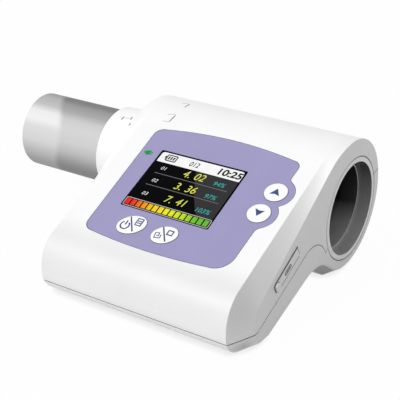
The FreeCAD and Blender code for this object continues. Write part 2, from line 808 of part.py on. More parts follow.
def flap_plate(grow):
    """Flap outline solid, with a half-round hinge end about its pin."""
    along, height = flap_pin_place()
    width = FLAP_WIDTH + 2 * grow
    radius = FLAP_THICKNESS / 2 + grow
    plate = rounded_plate(FLAP_LENGTH - FLAP_THICKNESS / 2 + grow, width,
                          FLAP_CORNER_R, FLAP_THICKNESS + 2 * grow)
    plate.translate(V(-FLAP_THICKNESS / 4 - grow / 2, 0, FLAP_PROUD + grow))
    square_end = Part.makeBox(FLAP_CORNER_R + ROOT, width, FLAP_THICKNESS + 2 * grow,
                              V(along - FLAP_CORNER_R - ROOT, -width / 2,
                                FLAP_PROUD - FLAP_THICKNESS - grow))
    barrel = Part.makeCylinder(radius, width, V(along, -width / 2, height), V(0, 1, 0))
    return fuse_all([plate, square_end, barrel])


def make_flap():
    plate = flap_plate(0.0)
    lip = rounded_plate(FLAP_LIP, FLAP_WIDTH, FLAP_LIP_R, FLAP_THICKNESS + FLAP_LIP_PROUD)
    lip.translate(V(-FLAP_LENGTH / 2 + FLAP_LIP / 2, 0, FLAP_PROUD + FLAP_LIP_PROUD))
    flap = fuse_all([plate, lip])
    along, height = flap_pin_place()
    hole = Part.makeCylinder(FLAP_PIN_R + FLAP_PIN_GAP, FAR, V(along, -FAR / 2, height),
                             V(0, 1, 0))
    return on_end_face(flap.cut(hole))


def make_flap_pin():
    along, height = flap_pin_place()
    length = FLAP_WIDTH + 2 * FLAP_PIN_REACH
    pin = Part.makeCylinder(FLAP_PIN_R, length, V(along, -length / 2, height), V(0, 1, 0))
    return on_end_face(pin)


def flap_recess():
    """Recess for the flap, its pin and the thumb, cut out of the end wall."""
    along, height = flap_pin_place()
    recess = flap_plate(FLAP_GAP)
    length = FLAP_WIDTH + 2 * FLAP_PIN_REACH
    pin = Part.makeCylinder(FLAP_PIN_R, length, V(along, -length / 2, height), V(0, 1, 0))
    return on_end_face(fuse_all([recess, pin]))


# Socket

def usb_depth():
    return BOARD_BOTTOM + USB_HEIGHT / 2


def usb_block(grow, x0, x1):
    """Flat rounded block on the socket's axis."""
    width = USB_WIDTH + 2 * grow
    height = USB_HEIGHT + 2 * grow
    radius = height / 2 - USB_CORNER
    plate = rounded_plate(width, height, radius, x1 - x0)
    turned = plate.copy()
    turned.Placement = FreeCAD.Placement(V(x1 - SCREEN_X, USB_V, -usb_depth()),
                                         FreeCAD.Rotation(V(0, 1, 0), V(0, 0, 1), V(1, 0, 0),
                                                          "ZXY"))
    return on_panel(turned)


def make_usb_socket():
    mouth = HALF_WIDTH - END_WALL
    shell = usb_block(0.0, mouth - USB_DEPTH, mouth)
    hollow = usb_block(-USB_WALL, mouth - USB_DEPTH + USB_BACK, mouth)
    tongue = panel_box(mouth - USB_DEPTH - SCREEN_X, mouth - TONGUE_SHORT - SCREEN_X,
                       USB_V - TONGUE_WIDTH / 2, USB_V + TONGUE_WIDTH / 2,
                       usb_depth() - TONGUE_THICKNESS / 2, usb_depth() + TONGUE_THICKNESS / 2)
    return fuse_all([shell.cut(hollow), tongue])


# Case halves

def make_case_halves():
    outer = case_block()
    cavity = case_prism(WALL, BEVEL_START)
    shell = outer.cut(cavity)

    # Ribs that carry the airway liner
    ribs = []
    for x in (-RIB_X, RIB_X):
        slab = Part.makeBox(RIB_THICKNESS, FAR, FAR,
                            V(x - RIB_THICKNESS / 2, SLEEVE_Y - SLEEVE_R - RIB_FRONT, -PAST))
        ribs.append(slab.common(outer))
    shell = shell.fuse(ribs).cut(airway_rod(SLEEVE_R, -FAR, FAR)).cut(liner_grooves())

    upper_zone = above_seam(SEAM_GAP / 2)
    upper = shell.common(upper_zone)
    lower = shell.cut(above_seam(-SEAM_GAP / 2))

    # Lip of the lower half behind the seam, and its seat in the upper half
    lip = case_prism(WALL - LIP_THICKNESS, BEVEL_START - LIP_CLEARANCE).cut(cavity)
    passing = [panel_rod(x, v, BOSS_R + LIP_CLEARANCE, 0, FAR / 4) for x, v in boss_places()]
    passing.append(airway_rod(SLEEVE_R + LIP_LINER_GAP, -FAR, FAR))
    lip = lip.cut(passing)
    lip = lip.common(above_seam(-LIP_HEIGHT).cut(above_seam(LIP_HEIGHT)))
    seat_step = LIP_THICKNESS + LIP_CLEARANCE
    seat = case_prism(WALL - seat_step, BEVEL_START)
    seat = seat.common(above_seam(-LIP_HEIGHT).cut(above_seam(LIP_HEIGHT + LIP_CLEARANCE)))
    seat = seat.cut(case_prism(WALL + RIB_MARGIN, BEVEL_START - RIB_MARGIN))
    return outer, upper.cut(seat), lower.fuse(lip)


def liner_grooves():
    """Thin grooves round the liner in both end faces."""
    radius = SLEEVE_R + SLEEVE_GROOVE
    edge = HALF_WIDTH - SLEEVE_GROOVE_DEPTH
    return airway_rod(radius, -HALF_WIDTH, -edge).fuse(airway_rod(radius, edge, HALF_WIDTH))


def make_upper_case(outer, upper):
    zone = above_seam(SEAM_GAP / 2)
    pieces = [upper]
    for x, v in boss_places():
        boss = panel_rod(x, v, BOSS_R, ROOT, SEAM_DEPTH).common(outer).common(zone)
        pieces.append(boss)
    for x, v in BOARD_SCREWS:
        boss = panel_rod(x, v, BOARD_BOSS_R, ROOT, BOARD_TOP).common(outer)
        pieces.append(boss)
    case = fuse_all(pieces)
    case = case.cut(film_block(FILM_GAP, -PAST, FILM_THICKNESS))
    window = rounded_plate(WINDOW_WIDTH + 2 * WINDOW_GAP, WINDOW_HEIGHT + 2 * WINDOW_GAP,
                           WINDOW_CORNER_R, WINDOW_THICKNESS)
    case = case.cut(on_panel(window))
    width, height = lcd_size(-WINDOW_LEDGE)
    case = case.cut(on_panel(rounded_plate(width, height, LCD_CORNER_R, WALL + PAST)))
    holes = [key_hole(name, WALL + PAST) for name in KEYS]
    holes.append(panel_rod(LAMP[0], LAMP[1], LAMP_R + LAMP_GAP, -PAST, WALL + PAST))
    for x, v in boss_places():
        holes.append(panel_rod(x, v, SCREW_R, SEAM_DEPTH - SCREW_LENGTH + SCREW_SEAT,
                               SEAM_DEPTH + PAST))
    for x, v in BOARD_SCREWS:
        holes.append(panel_rod(x, v, BOARD_SCREW_R, BOARD_BOTTOM - BOARD_SCREW_LENGTH,
                               BOARD_BOTTOM))
    holes.append(flap_recess())
    holes.append(usb_block(USB_MOUTH_GAP, BEVEL_START - PAST, HALF_WIDTH))
    return case.cut(holes)


def make_lower_case(outer, lower):
    zone = above_seam(-SEAM_GAP / 2)
    pieces = [lower]
    for x, v in boss_places():
        boss = panel_rod(x, v, LOWER_BOSS_R, SEAM_DEPTH, FAR / 4).common(outer).cut(zone)
        pieces.append(boss)
    pieces.extend(cradle_ribs(outer))
    holes = []
    for x, v in boss_places():
        shank = panel_rod(x, v, SCREW_R + SCREW_GAP, SEAM_DEPTH - PAST, FAR / 4)
        head = panel_rod(x, v, SCREW_HEAD_R + SCREW_GAP, SEAM_DEPTH + SCREW_SEAT, FAR / 4)
        holes.append(shank.fuse(head))
    return fuse_all(pieces).cut(holes)


def cradle_ribs(outer):
    """Ribs under the battery and low walls round it, grown out of the lower half."""
    half_x = BATTERY_LENGTH / 2
    v0 = BATTERY_V - BATTERY_WIDTH / 2
    v1 = BATTERY_V + BATTERY_WIDTH / 2
    bottom = BATTERY_TOP + BATTERY_HEIGHT
    ribs = []
    for x in (-CRADLE_SPREAD, 0.0, CRADLE_SPREAD):
        rib = panel_box(x - CRADLE_RIB / 2 - SCREEN_X, x + CRADLE_RIB / 2 - SCREEN_X,
                        v0 - CRADLE_FRONT, v1, bottom, FAR / 4)
        ribs.append(rib.common(outer))
    for side in (-1, 1):
        inner = side * (half_x + CRADLE_GAP)
        x0 = min(inner, inner + side * CRADLE_RIB)
        wall = panel_box(x0 - SCREEN_X, x0 + CRADLE_RIB - SCREEN_X, v0, v1,
                         bottom - CRADLE_HEIGHT, FAR / 4)
        ribs.append(wall.common(outer))
    zone = above_seam(-SEAM_GAP / 2)
    return [rib.cut(zone) for rib in ribs]


def make_case_screws():
    screws = []
    for x, v in boss_places():
        seat = SEAM_DEPTH + SCREW_SEAT
        shank = panel_rod(x, v, SCREW_R, seat - SCREW_LENGTH, seat)
        head = panel_rod(x, v, SCREW_HEAD_R, seat, seat + SCREW_HEAD)
        screws.append(fuse_all([shank, head]))
    return Part.makeCompound(screws)


def make_board_screws():
    screws = []
    for x, v in BOARD_SCREWS:
        shank = panel_rod(x, v, BOARD_SCREW_R, BOARD_BOTTOM - BOARD_SCREW_LENGTH, BOARD_BOTTOM)
        head = panel_rod(x, v, BOARD_SCREW_HEAD_R, BOARD_BOTTOM, BOARD_BOTTOM + BOARD_SCREW_HEAD)
        screws.append(fuse_all([shank, head]))
    return Part.makeCompound(screws)


# Boards and what they carry

def make_main_board():
    wire = rounded_outline([(BOARD_LEFT, BOARD_LOW), (BOARD_RIGHT, BOARD_LOW),
                            (BOARD_RIGHT, BOARD_HIGH), (BOARD_LEFT, BOARD_HIGH)],
                           [BOARD_CORNER_R] * 4)
    board = on_panel(Part.Face(wire).extrude(V(0, 0, -BOARD_THICKNESS)), depth=BOARD_TOP)
    for x, v in boss_places():
        board = board.cut(panel_rod(x, v, BOSS_R + BOSS_GAP, 0, FAR / 4))
    for x, v in BOARD_SCREWS:
        board = board.cut(panel_rod(x, v, BOARD_SCREW_R + BOARD_SCREW_GAP, 0, FAR / 4))
    return board


def make_board_chips():
    chips = []
    for x, v, width, height, tall in CHIPS:
        chips.append(board_block(BOARD_LEFT + x, v, (width, height), 0.0, tall))
    return Part.makeCompound(chips)


def board_block(x, v, size, start, tall):
    """Block centred at x and v, hanging under the board from start by its thickness."""
    width, height = size
    return panel_box(x - width / 2, x + width / 2, v - height / 2, v + height / 2,
                     BOARD_BOTTOM + start, BOARD_BOTTOM + start + tall)


def make_radio_module():
    x = BOARD_LEFT + RADIO_FROM_EDGE
    board = board_block(x, RADIO_V, RADIO_SIZE, 0.0, RADIO_THICKNESS)
    can = board_block(x, RADIO_V, RADIO_CAN_SIZE, RADIO_THICKNESS, RADIO_CAN_HEIGHT)
    return fuse_all([board, can])


def make_temperature_sensor():
    return board_block(BOARD_RIGHT - THERMO_FROM_EDGE, BOARD_HIGH - THERMO_FROM_TOP,
                       (THERMO_SIZE, THERMO_SIZE), 0.0, THERMO_HEIGHT)


def make_buzzer():
    x = BOARD_LEFT + BUZZER_FROM_EDGE
    v = BUZZER_V
    can = panel_rod(x, v, BUZZER_R, BOARD_BOTTOM, BOARD_BOTTOM + BUZZER_HEIGHT)
    hole = panel_rod(x, v, BUZZER_HOLE_R, BOARD_BOTTOM + BUZZER_HEIGHT / 2, FAR / 4)
    return can.cut(hole)


def make_battery():
    cell = rounded_plate(BATTERY_LENGTH, BATTERY_WIDTH, BATTERY_R, BATTERY_HEIGHT)
    return on_panel(cell, -SCREEN_X, BATTERY_V, BATTERY_TOP)


def make_battery_plug():
    width, height = PLUG_SIZE
    x = BATTERY_LENGTH / 2 - width - SCREEN_X
    v = BATTERY_V - BATTERY_WIDTH / 2 + PLUG_INSET
    return panel_box(x, x + width, v, v + height, BOARD_BOTTOM, BATTERY_TOP)


# Airway

def sensor_places():
    return (-SENSOR_SPACING / 2, SENSOR_SPACING / 2)


def chip_box(x, y0, y1, grow):
    half = SENSOR_CHIP / 2 + grow
    return Part.makeBox(2 * half, y1 - y0, 2 * half, V(x - half, y0, SLEEVE_Z - half))


def sensor_face_y():
    return SLEEVE_Y - SLEEVE_R - SENSOR_PAD


def make_sleeve():
    sleeve = airway_ring(SLEEVE_R, SLEEVE_BORE_R, -HALF_WIDTH, HALF_WIDTH)
    sleeve = sleeve.cut(airway_rod(SLEEVE_MOUTH_R, HALF_WIDTH - TURBINE_RECESS, HALF_WIDTH))
    pad = Part.makeBox(SENSOR_BOARD_WIDTH, SLEEVE_R, SENSOR_BOARD_HEIGHT,
                       V(-SENSOR_BOARD_WIDTH / 2, sensor_face_y(),
                         SLEEVE_Z - SENSOR_BOARD_HEIGHT / 2))
    pad = pad.cut(airway_rod(SLEEVE_BORE_R, -HALF_WIDTH, HALF_WIDTH))
    sleeve = fuse_all([sleeve, pad])
    for x in sensor_places():
        sleeve = sleeve.cut(chip_box(x, -FAR, FAR, SENSOR_CHIP_GAP))
    return sleeve


def make_sensor_board():
    y = sensor_face_y() - SENSOR_BOARD_THICKNESS
    return Part.makeBox(SENSOR_BOARD_WIDTH, SENSOR_BOARD_THICKNESS, SENSOR_BOARD_HEIGHT,
                        V(-SENSOR_BOARD_WIDTH / 2, y, SLEEVE_Z - SENSOR_BOARD_HEIGHT / 2))


def make_emitters():
    y0 = sensor_face_y()
    return Part.makeCompound([chip_box(x, y0, y0 + SENSOR_CHIP_DEPTH, 0.0)
                              for x in sensor_places()])


def make_detectors():
    y1 = SLEEVE_Y + SLEEVE_R
    return Part.makeCompound([chip_box(x, y1 - SENSOR_CHIP_DEPTH, y1, 0.0)
                              for x in sensor_places()])


def make_detector_board():
    width, height = DETECTOR_STRIP_SIZE
    return Part.makeBox(width, DETECTOR_STRIP_THICKNESS, height,
                        V(-width / 2, SLEEVE_Y + SLEEVE_R, SLEEVE_Z - height / 2))


def make_ribbon():
    """Flat ribbon from the main board down to the sensor board."""
    from_v = BOARD_HIGH - RIBBON_ON_BOARD
    start = on_panel(Part.Vertex(0, from_v, 0), depth=BOARD_BOTTOM).Point
    start_low = on_panel(Part.Vertex(0, from_v, 0),
                         depth=BOARD_BOTTOM + RIBBON_THICKNESS).Point
    board_y = sensor_face_y() - SENSOR_BOARD_THICKNESS
    end_z = SLEEVE_Z + SENSOR_BOARD_HEIGHT / 2 - RIBBON_ON_SENSOR
    x0 = -RIBBON_WIDTH / 2
    bend = V(x0, board_y - RIBBON_THICKNESS, start_low.z)
    bend_out = V(x0, board_y, start.z)
    end = V(x0, board_y - RIBBON_THICKNESS, end_z)
    end_out = V(x0, board_y, end_z)
    wire = Part.makePolygon([V(x0, start.y, start.z), bend_out, end_out, end, bend,
                             V(x0, start_low.y, start_low.z), V(x0, start.y, start.z)])
    return Part.Face(wire).extrude(V(RIBBON_WIDTH, 0, 0))


def make_turbine_tube():
    outer_r = SLEEVE_BORE_R - TURBINE_CLEARANCE
    shoulder = -HALF_WIDTH - COLLAR_GAP
    right = HALF_WIDTH - TURBINE_RECESS
    collar = airway_rod(COLLAR_R, LEFT_END, shoulder)
    rim = [e for e in collar.Edges if abs(e.BoundBox.XMin - LEFT_END) < 1e-6
           and abs(e.BoundBox.XMax - LEFT_END) < 1e-6]
    collar = collar.makeChamfer(COLLAR_EDGE, rim)
    body = fuse_all([collar, airway_rod(outer_r, shoulder - PAST, right)])
    body = body.cut(airway_rod(FLOW_R, LEFT_END - PAST, right + PAST))
    body = body.cut(airway_rod(MOUTHPIECE_SPIGOT_R + MOUTHPIECE_CLEARANCE, LEFT_END - PAST,
                               MOUTHPIECE_STOP))
    mouth = Part.makeCone(FLOW_R, outer_r - OUTLET_RIM, OUTLET_CONE,
                          V(right - OUTLET_CONE, SLEEVE_Y, SLEEVE_Z), V(1, 0, 0))
    body = body.cut(mouth)
    groove_x = -HALF_WIDTH + SEAL_FROM_FACE
    groove = airway_ring(outer_r + PAST, outer_r - SEAL_DEPTH, groove_x,
                         groove_x + SEAL_WIDTH)
    return body.cut(groove)


def make_seal():
    x0 = -HALF_WIDTH + SEAL_FROM_FACE
    inner = SLEEVE_BORE_R - TURBINE_CLEARANCE - SEAL_DEPTH
    outer = SLEEVE_BORE_R - SEAL_GAP
    return airway_ring(outer, inner, x0, x0 + SEAL_WIDTH)


def stator_blade(x0, x1, turn, pitch):
    """Flat blade from the hub outwards, pitched across the flow and turned about the airway."""
    length = (x1 - x0) * 2
    blade = Part.makeBox(length, BLADE_THICKNESS, FLOW_R,
                         V(-length / 2, -BLADE_THICKNESS / 2, HUB_R - BLADE_ROOT))
    blade.rotate(V(0, 0, 0), V(0, 0, 1), pitch)
    blade.rotate(V(0, 0, 0), V(1, 0, 0), turn)
    blade.translate(V((x0 + x1) / 2, SLEEVE_Y, SLEEVE_Z))
    return blade


def make_stator(direction):
    """Hub with swirl vanes that reach the tube; direction is -1 at the inlet, 1 at the outlet."""
    near = direction * STATOR_FROM_ROTOR
    far = direction * (STATOR_FROM_ROTOR + STATOR_LENGTH)
    x0 = min(near, far)
    x1 = max(near, far)
    hub = airway_rod(HUB_R, x0, x1)
    nose = Part.makeCone(HUB_R, HUB_TIP_R, HUB_NOSE, V(far, SLEEVE_Y, SLEEVE_Z),
                         V(direction, 0, 0))
    blades = [stator_blade(x0, x1, 360.0 / BLADE_COUNT * i, direction * BLADE_PITCH)
              for i in range(BLADE_COUNT)]
    blades = [blade.common(airway_rod(FLOW_R - STATOR_TIP_GAP, x0, x1)) for blade in blades]
    stator = fuse_all([hub, nose] + blades)
    seat_end = near + direction * BEARING_LENGTH
    pocket = airway_rod(BEARING_R, min(near, seat_end), max(near, seat_end))
    return stator.cut(pocket)


def make_bearings():
    bearings = []
    for direction in (-1, 1):
        near = direction * STATOR_FROM_ROTOR
        far = near + direction * BEARING_LENGTH
        blind = near + direction * BEARING_DEPTH
        jewel = airway_rod(BEARING_R, min(near, far), max(near, far))
        jewel = jewel.cut(airway_rod(AXLE_R + AXLE_CLEARANCE, min(near, blind), max(near, blind)))
        bearings.append(jewel)
    return Part.makeCompound(bearings)


def make_axle():
    reach = STATOR_FROM_ROTOR + BEARING_DEPTH - AXLE_CLEARANCE
    return airway_rod(AXLE_R, -reach, reach)


def make_rotor():
    """Flat vane with a slim hub, pressed on the axle."""
    span = 2 * (FLOW_R - ROTOR_TIP_GAP)
    plate = Part.makeBox(ROTOR_LENGTH, span, ROTOR_THICKNESS,
                         V(-ROTOR_LENGTH / 2, -span / 2, -ROTOR_THICKNESS / 2))
    plate.rotate(V(0, 0, 0), V(1, 0, 0), ROTOR_ANGLE)
    plate.translate(V(0, SLEEVE_Y, SLEEVE_Z))
    hub_end = ROTOR_LENGTH / 2 + ROTOR_HUB_ENDS
    hub = airway_rod(ROTOR_HUB_R, -hub_end, hub_end)
    return fuse_all([plate, hub]).cut(airway_rod(AXLE_R, -FAR, FAR))


def make_mouthpiece():
    """Straight tube with a slightly slimmer end that plugs into the collar."""
    step = LEFT_END - MOUTHPIECE_SPIGOT_SHOWS
    tube = airway_rod(MOUTHPIECE_R, MOUTHPIECE_END, step)
    tube = fuse_all([tube, airway_rod(MOUTHPIECE_SPIGOT_R, step, MOUTHPIECE_STOP)])
    return tube.cut(airway_rod(MOUTHPIECE_R - MOUTHPIECE_WALL, -FAR, FAR))


# Assembly

def make_all():
    outer, upper, lower = make_case_halves()
    nodes = {
        "upper_case": make_upper_case(outer, upper),
        "lower_case": make_lower_case(outer, lower),
        "bore_sleeve": make_sleeve(),
        "front_overlay": make_film(),
        "screen_window": make_window(),
        "lcd_panel": make_lcd_panel(),
        "lcd_frame": make_lcd_frame(),
        "charge_lamp": make_lamp(),
        "charge_led": make_lamp_led(),
        "key_switches": make_switches(),
        "main_board": make_main_board(),
        "board_chips": make_board_chips(),
        "radio_module": make_radio_module(),
        "temperature_sensor": make_temperature_sensor(),
        "buzzer": make_buzzer(),
        "battery_cell": make_battery(),
        "battery_plug": make_battery_plug(),
        "usb_socket": make_usb_socket(),
        "usb_cover": make_flap(),
        "usb_cover_pin": make_flap_pin(),
        "case_screws": make_case_screws(),
        "board_screws": make_board_screws(),
        "sensor_board": make_sensor_board(),
        "detector_board": make_detector_board(),
        "infrared_emitters": make_emitters(),
        "infrared_detectors": make_detectors(),
        "sensor_ribbon": make_ribbon(),
        "turbine_tube": make_turbine_tube(),
        "turbine_seal": make_seal(),
        "inlet_stator": make_stator(-1),
        "outlet_stator": make_stator(1),
        "rotor_bearings": make_bearings(),
        "rotor_axle": make_axle(),
        "rotor_vane": make_rotor(),
        "mouthpiece": make_mouthpiece(),
    }
    nodes.update(make_keys())
    return nodes


def origin_shift():
    """Move that puts the origin under the middle of the whole object, on the table."""
    right_end = HALF_WIDTH + FLAP_PROUD + FLAP_LIP_PROUD
    return V(-(MOUTHPIECE_END + right_end) / 2, -CASE_DEPTH / 2, 0)


os.makedirs("parts", exist_ok=True)
shift = origin_shift()
for node, shape in make_all().items():
    shape.translate(shift)
    shape.exportStep("parts/" + node + ".step")
    print(node, "solids", len(shape.Solids), "volume", round(shape.Volume, 1),
          "valid", shape.isValid())
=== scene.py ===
# Looks of a handheld electronic spirometer: finishes, screen picture, key signs and studio.
# Everything is in metres in the shared frame; sizes below marked MM are in millimetres.

import json
import math

import bpy
from mathutils import Matrix, Vector
from mathutils.bvhtree import BVHTree


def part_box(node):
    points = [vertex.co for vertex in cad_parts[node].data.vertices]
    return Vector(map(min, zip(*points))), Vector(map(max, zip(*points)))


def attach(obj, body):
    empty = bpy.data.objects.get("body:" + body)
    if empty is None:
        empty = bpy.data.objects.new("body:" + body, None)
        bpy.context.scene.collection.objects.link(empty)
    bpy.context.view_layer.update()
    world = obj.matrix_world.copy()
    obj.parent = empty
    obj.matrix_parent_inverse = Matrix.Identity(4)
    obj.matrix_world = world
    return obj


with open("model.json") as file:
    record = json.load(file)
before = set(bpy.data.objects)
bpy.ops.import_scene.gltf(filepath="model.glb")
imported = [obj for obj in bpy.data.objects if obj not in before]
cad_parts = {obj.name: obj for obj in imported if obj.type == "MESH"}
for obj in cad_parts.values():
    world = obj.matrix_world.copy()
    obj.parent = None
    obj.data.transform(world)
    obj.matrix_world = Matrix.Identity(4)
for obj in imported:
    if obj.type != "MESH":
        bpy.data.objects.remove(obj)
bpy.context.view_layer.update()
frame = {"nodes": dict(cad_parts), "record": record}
nodes = frame["nodes"]

MM = 0.001

# Camera, fitted to the photograph: place beside the middle of the screen, nose and table, in MM
CAMERA_FROM_SCREEN_X = 174.75
CAMERA_FROM_NOSE_Y = -220.1
CAMERA_HEIGHT = 177.5
CAMERA_TURN = 33.25
CAMERA_DOWN = 25.35
CAMERA_LENS = 91.09

# Panel
PANEL_TILT = math.radians(23.67)
WINDOW_HEIGHT = 27.5

# Printed pieces, in MM: thickness, height over what they lie on, and step between layers
DECAL = 0.02
DECAL_LIFT = 0.03
LAYER = 0.03

# Airway radii, in MM: the liner's wide mouth, the turbine tube's thin rim and the mouthpiece
LINER_MOUTH_R = 16.9
TURBINE_RIM_R = 15.8
MOUTHPIECE_R = 15.0

# Painted reflection at the end of the mouthpiece, a paler patch, in MM: where its soft edge starts and
# ends, how far it slopes and bulges
PALE_START = 16.8
PALE_END = 20.5
PALE_SLOPE = 3.3
PALE_BULGE = 7.6

# Coloured scale of the screen, in MM: first bar, pitch, width of a bar, and where the colours run
SCALE_LEFT = -16.6
SCALE_PITCH = 2.24
SCALE_BAR = 1.74
SCALE_BARS = 15
SCALE_COLOURS = (-16.9, 17.0)

# Flap: turn beyond the panel's tilt, and how far its thumb lip stands proud, in MM
FLAP_TURN = math.radians(3.53)
FLAP_LIP_PROUD = 0.7

# Painted shade on the case, greyer at the nose, under it and in the arch under the tube: axis, start and
# end in MM, then the grey at the end
CASE_PAINTED_SHADE = [
    [("Y", -33.0, -43.0), ("Z", 6.0, 17.0), 0.88],
    [("X", 64.0, 69.0), ("Y", -38.0, -43.0), ("Z", 6.0, 3.0), 0.6],
    [("X", 45.0, 55.0), ("X", 69.15, 68.8), ("Y", -2.0, 3.0), ("Z", 14.0, 10.0), 0.35]]

# Narrow gaps darken with painted shade within this reach, in MM, and moulded edges are eased by this radius
CREVICE_SHADE_REACH = 0.8
EDGE = 0.35

# Colours, linear
WHITE = (0.90, 0.90, 0.91)
BLACK = (0.0012, 0.0012, 0.0018)
UNLIT = (0.004, 0.004, 0.004)
ICON_BLUE = (0.015, 0.045, 0.20)
YELLOW = (0.72, 0.76, 0.10)
TEAL = (0.04, 0.42, 0.39)
MARK_GREY = (0.10, 0.10, 0.10)

# Floor: size in metres, grey that lights the object, share of it seen as white
FLOOR = 3.0
FLOOR_GREY = 0.60
FLOOR_SEEN = 0.98

# Painted soft shadow where the object meets the floor: reach in MM, darkest grey, and where it ends
CONTACT_REACH = 3.5
CONTACT_GREY = 0.78
CONTACT_END = 0.6

# Room: level of its light, how it leans and its least level; then the key light
ROOM_LEVEL = 0.76
ROOM_LEAN = (-0.50, -0.24, 0.0)
ROOM_LEAST = 0.05
KEY_ENERGY = 0.94
KEY_ANGLE = 35
KEY_DIRECTION = (0.35, 0.66, -0.66)

# Gloss of the screen, and how far the painted bands of shade and reflection on the mouthpiece lean to the
# rear
SCREEN_GLOSS = 0.02
SHEEN_LEAN = 0.493


# Places on the panel

window_low, window_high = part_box("screen_window")
nose_y = min(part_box("upper_case")[0].y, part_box("lower_case")[0].y)
half_height = WINDOW_HEIGHT / 2 * MM
PANEL_X = Vector((1, 0, 0))
PANEL_V = Vector((0, math.cos(PANEL_TILT), math.sin(PANEL_TILT)))
PANEL_N = Vector((0, -math.sin(PANEL_TILT), math.cos(PANEL_TILT)))
SCREEN = Vector(((window_low.x + window_high.x) / 2,
                 window_low.y + half_height * math.cos(PANEL_TILT),
                 window_high.z - half_height * math.sin(PANEL_TILT)))
PANEL_MATRIX = Matrix((
    (PANEL_X.x, PANEL_V.x, PANEL_N.x, SCREEN.x),
    (PANEL_X.y, PANEL_V.y, PANEL_N.y, SCREEN.y),
    (PANEL_X.z, PANEL_V.z, PANEL_N.z, SCREEN.z),
    (0, 0, 0, 1)))

mouth_low, mouth_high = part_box("mouthpiece")
AXIS_Y = (mouth_low.y + mouth_high.y) / 2
AXIS_Z = (mouth_low.z + mouth_high.z) / 2


def lift_of(node):
    """How far the top of a node stands above the panel, in MM."""
    return max((v.co - SCREEN).dot(PANEL_N) for v in nodes[node].data.vertices) / MM


# Materials

def new_material(name):
    """New material with its node tree and its shader."""
    material = bpy.data.materials.new(name)
    material.use_nodes = True
    tree = material.node_tree
    return material, tree, tree.nodes["Principled BSDF"]


def feed(tree, socket, value):
    """Link a socket to another one, or set it to a constant."""
    if isinstance(value, bpy.types.NodeSocket):
        tree.links.new(value, socket)
    else:
        socket.default_value = value


def calculate(tree, operation, *values):
    """Socket with the result of a calculation on sockets and numbers."""
    node = tree.nodes.new("ShaderNodeMath")
    node.operation = operation
    for socket, value in zip(node.inputs, values):
        feed(tree, socket, value)
    return node.outputs["Value"]


def vector_step(tree, operation, *values):
    """Node that works on vectors, which are sockets or constants."""
    node = tree.nodes.new("ShaderNodeVectorMath")
    node.operation = operation
    for socket, value in zip(node.inputs, values):
        feed(tree, socket, value)
    return node


def remap(tree, value, start, end, low=0.0, high=1.0, soft=False):
    """Socket that goes from low to high while a value goes from start to end."""
    node = tree.nodes.new("ShaderNodeMapRange")
    if soft:
        node.interpolation_type = "SMOOTHSTEP"
    for name, amount in (("Value", value), ("From Min", start), ("From Max", end),
                         ("To Min", low), ("To Max", high)):
        feed(tree, node.inputs[name], amount)
    return node.outputs["Result"]


def own_place(tree):
    """Socket with each point's place in the coordinates of its own piece, in metres."""
    return tree.nodes.new("ShaderNodeTexCoord").outputs["Object"]


def parts_of(tree, vector):
    """X, Y and Z sockets of a vector socket."""
    node = tree.nodes.new("ShaderNodeSeparateXYZ")
    tree.links.new(vector, node.inputs["Vector"])
    return node.outputs


def add_noise(tree, scale, detail=3.0, stretch=(1, 1, 1)):
    """Noise over the piece's own coordinates; scale counts features per metre."""
    mapping = tree.nodes.new("ShaderNodeMapping")
    mapping.inputs["Scale"].default_value = stretch
    noise = tree.nodes.new("ShaderNodeTexNoise")
    noise.inputs["Scale"].default_value = scale
    noise.inputs["Detail"].default_value = detail
    tree.links.new(own_place(tree), mapping.inputs["Vector"])
    tree.links.new(mapping.outputs["Vector"], noise.inputs["Vector"])
    return noise.outputs["Fac"]


def add_ramp(tree, source, stops):
    """Colour socket that follows a source through stops of (place, colour)."""
    ramp = tree.nodes.new("ShaderNodeValToRGB")
    ramp.color_ramp.elements[0].position = stops[0][0]
    ramp.color_ramp.elements[0].color = (*stops[0][1], 1)
    ramp.color_ramp.elements[1].position = stops[-1][0]
    ramp.color_ramp.elements[1].color = (*stops[-1][1], 1)
    for place, colour in stops[1:-1]:
        element = ramp.color_ramp.elements.new(place)
        element.color = (*colour, 1)
    tree.links.new(source, ramp.inputs["Fac"])
    return ramp.outputs["Color"]


def grey(level):
    return (level, level, level)


def clouded(tree, colour, variation, scale):
    """Colour socket that drifts about a colour by a small share, in soft clouds."""
    light = tuple(min(1.0, c * (1 + variation)) for c in colour)
    dark = tuple(c * (1 - variation) for c in colour)
    return add_ramp(tree, add_noise(tree, scale), [(0.3, dark), (0.7, light)])


def mixed(tree, factor, a, b, blend="MIX"):
    """Colour socket that goes from a to b with a factor socket; both are sockets or colours."""
    mix = tree.nodes.new("ShaderNodeMix")
    mix.data_type = "RGBA"
    mix.blend_type = blend
    for name, value in (("Factor", factor), ("A", a), ("B", b)):
        if isinstance(value, bpy.types.NodeSocket):
            tree.links.new(value, mix.inputs[name])
        else:
            mix.inputs[name].default_value = value if name == "Factor" else (*value, 1)
    return mix.outputs["Result"]


def tint(tree, shader, colour):
    """Multiply the base colour by a colour socket."""
    base = shader.inputs["Base Color"].links[0].from_socket
    tree.links.new(mixed(tree, 1.0, base, colour, "MULTIPLY"), shader.inputs["Base Color"])


def paint_crevice_shade(tree, shader, reach):
    """Paint shade into the base colour where the surface is hemmed in, as in a seam or a gap round a key.
    """
    open_share = tree.nodes.new("ShaderNodeAmbientOcclusion")
    open_share.samples = 8
    open_share.inputs["Distance"].default_value = reach
    tint(tree, shader, add_ramp(tree, open_share.outputs["AO"], [(0.50, grey(0.01)), (0.92, grey(1.0))]))


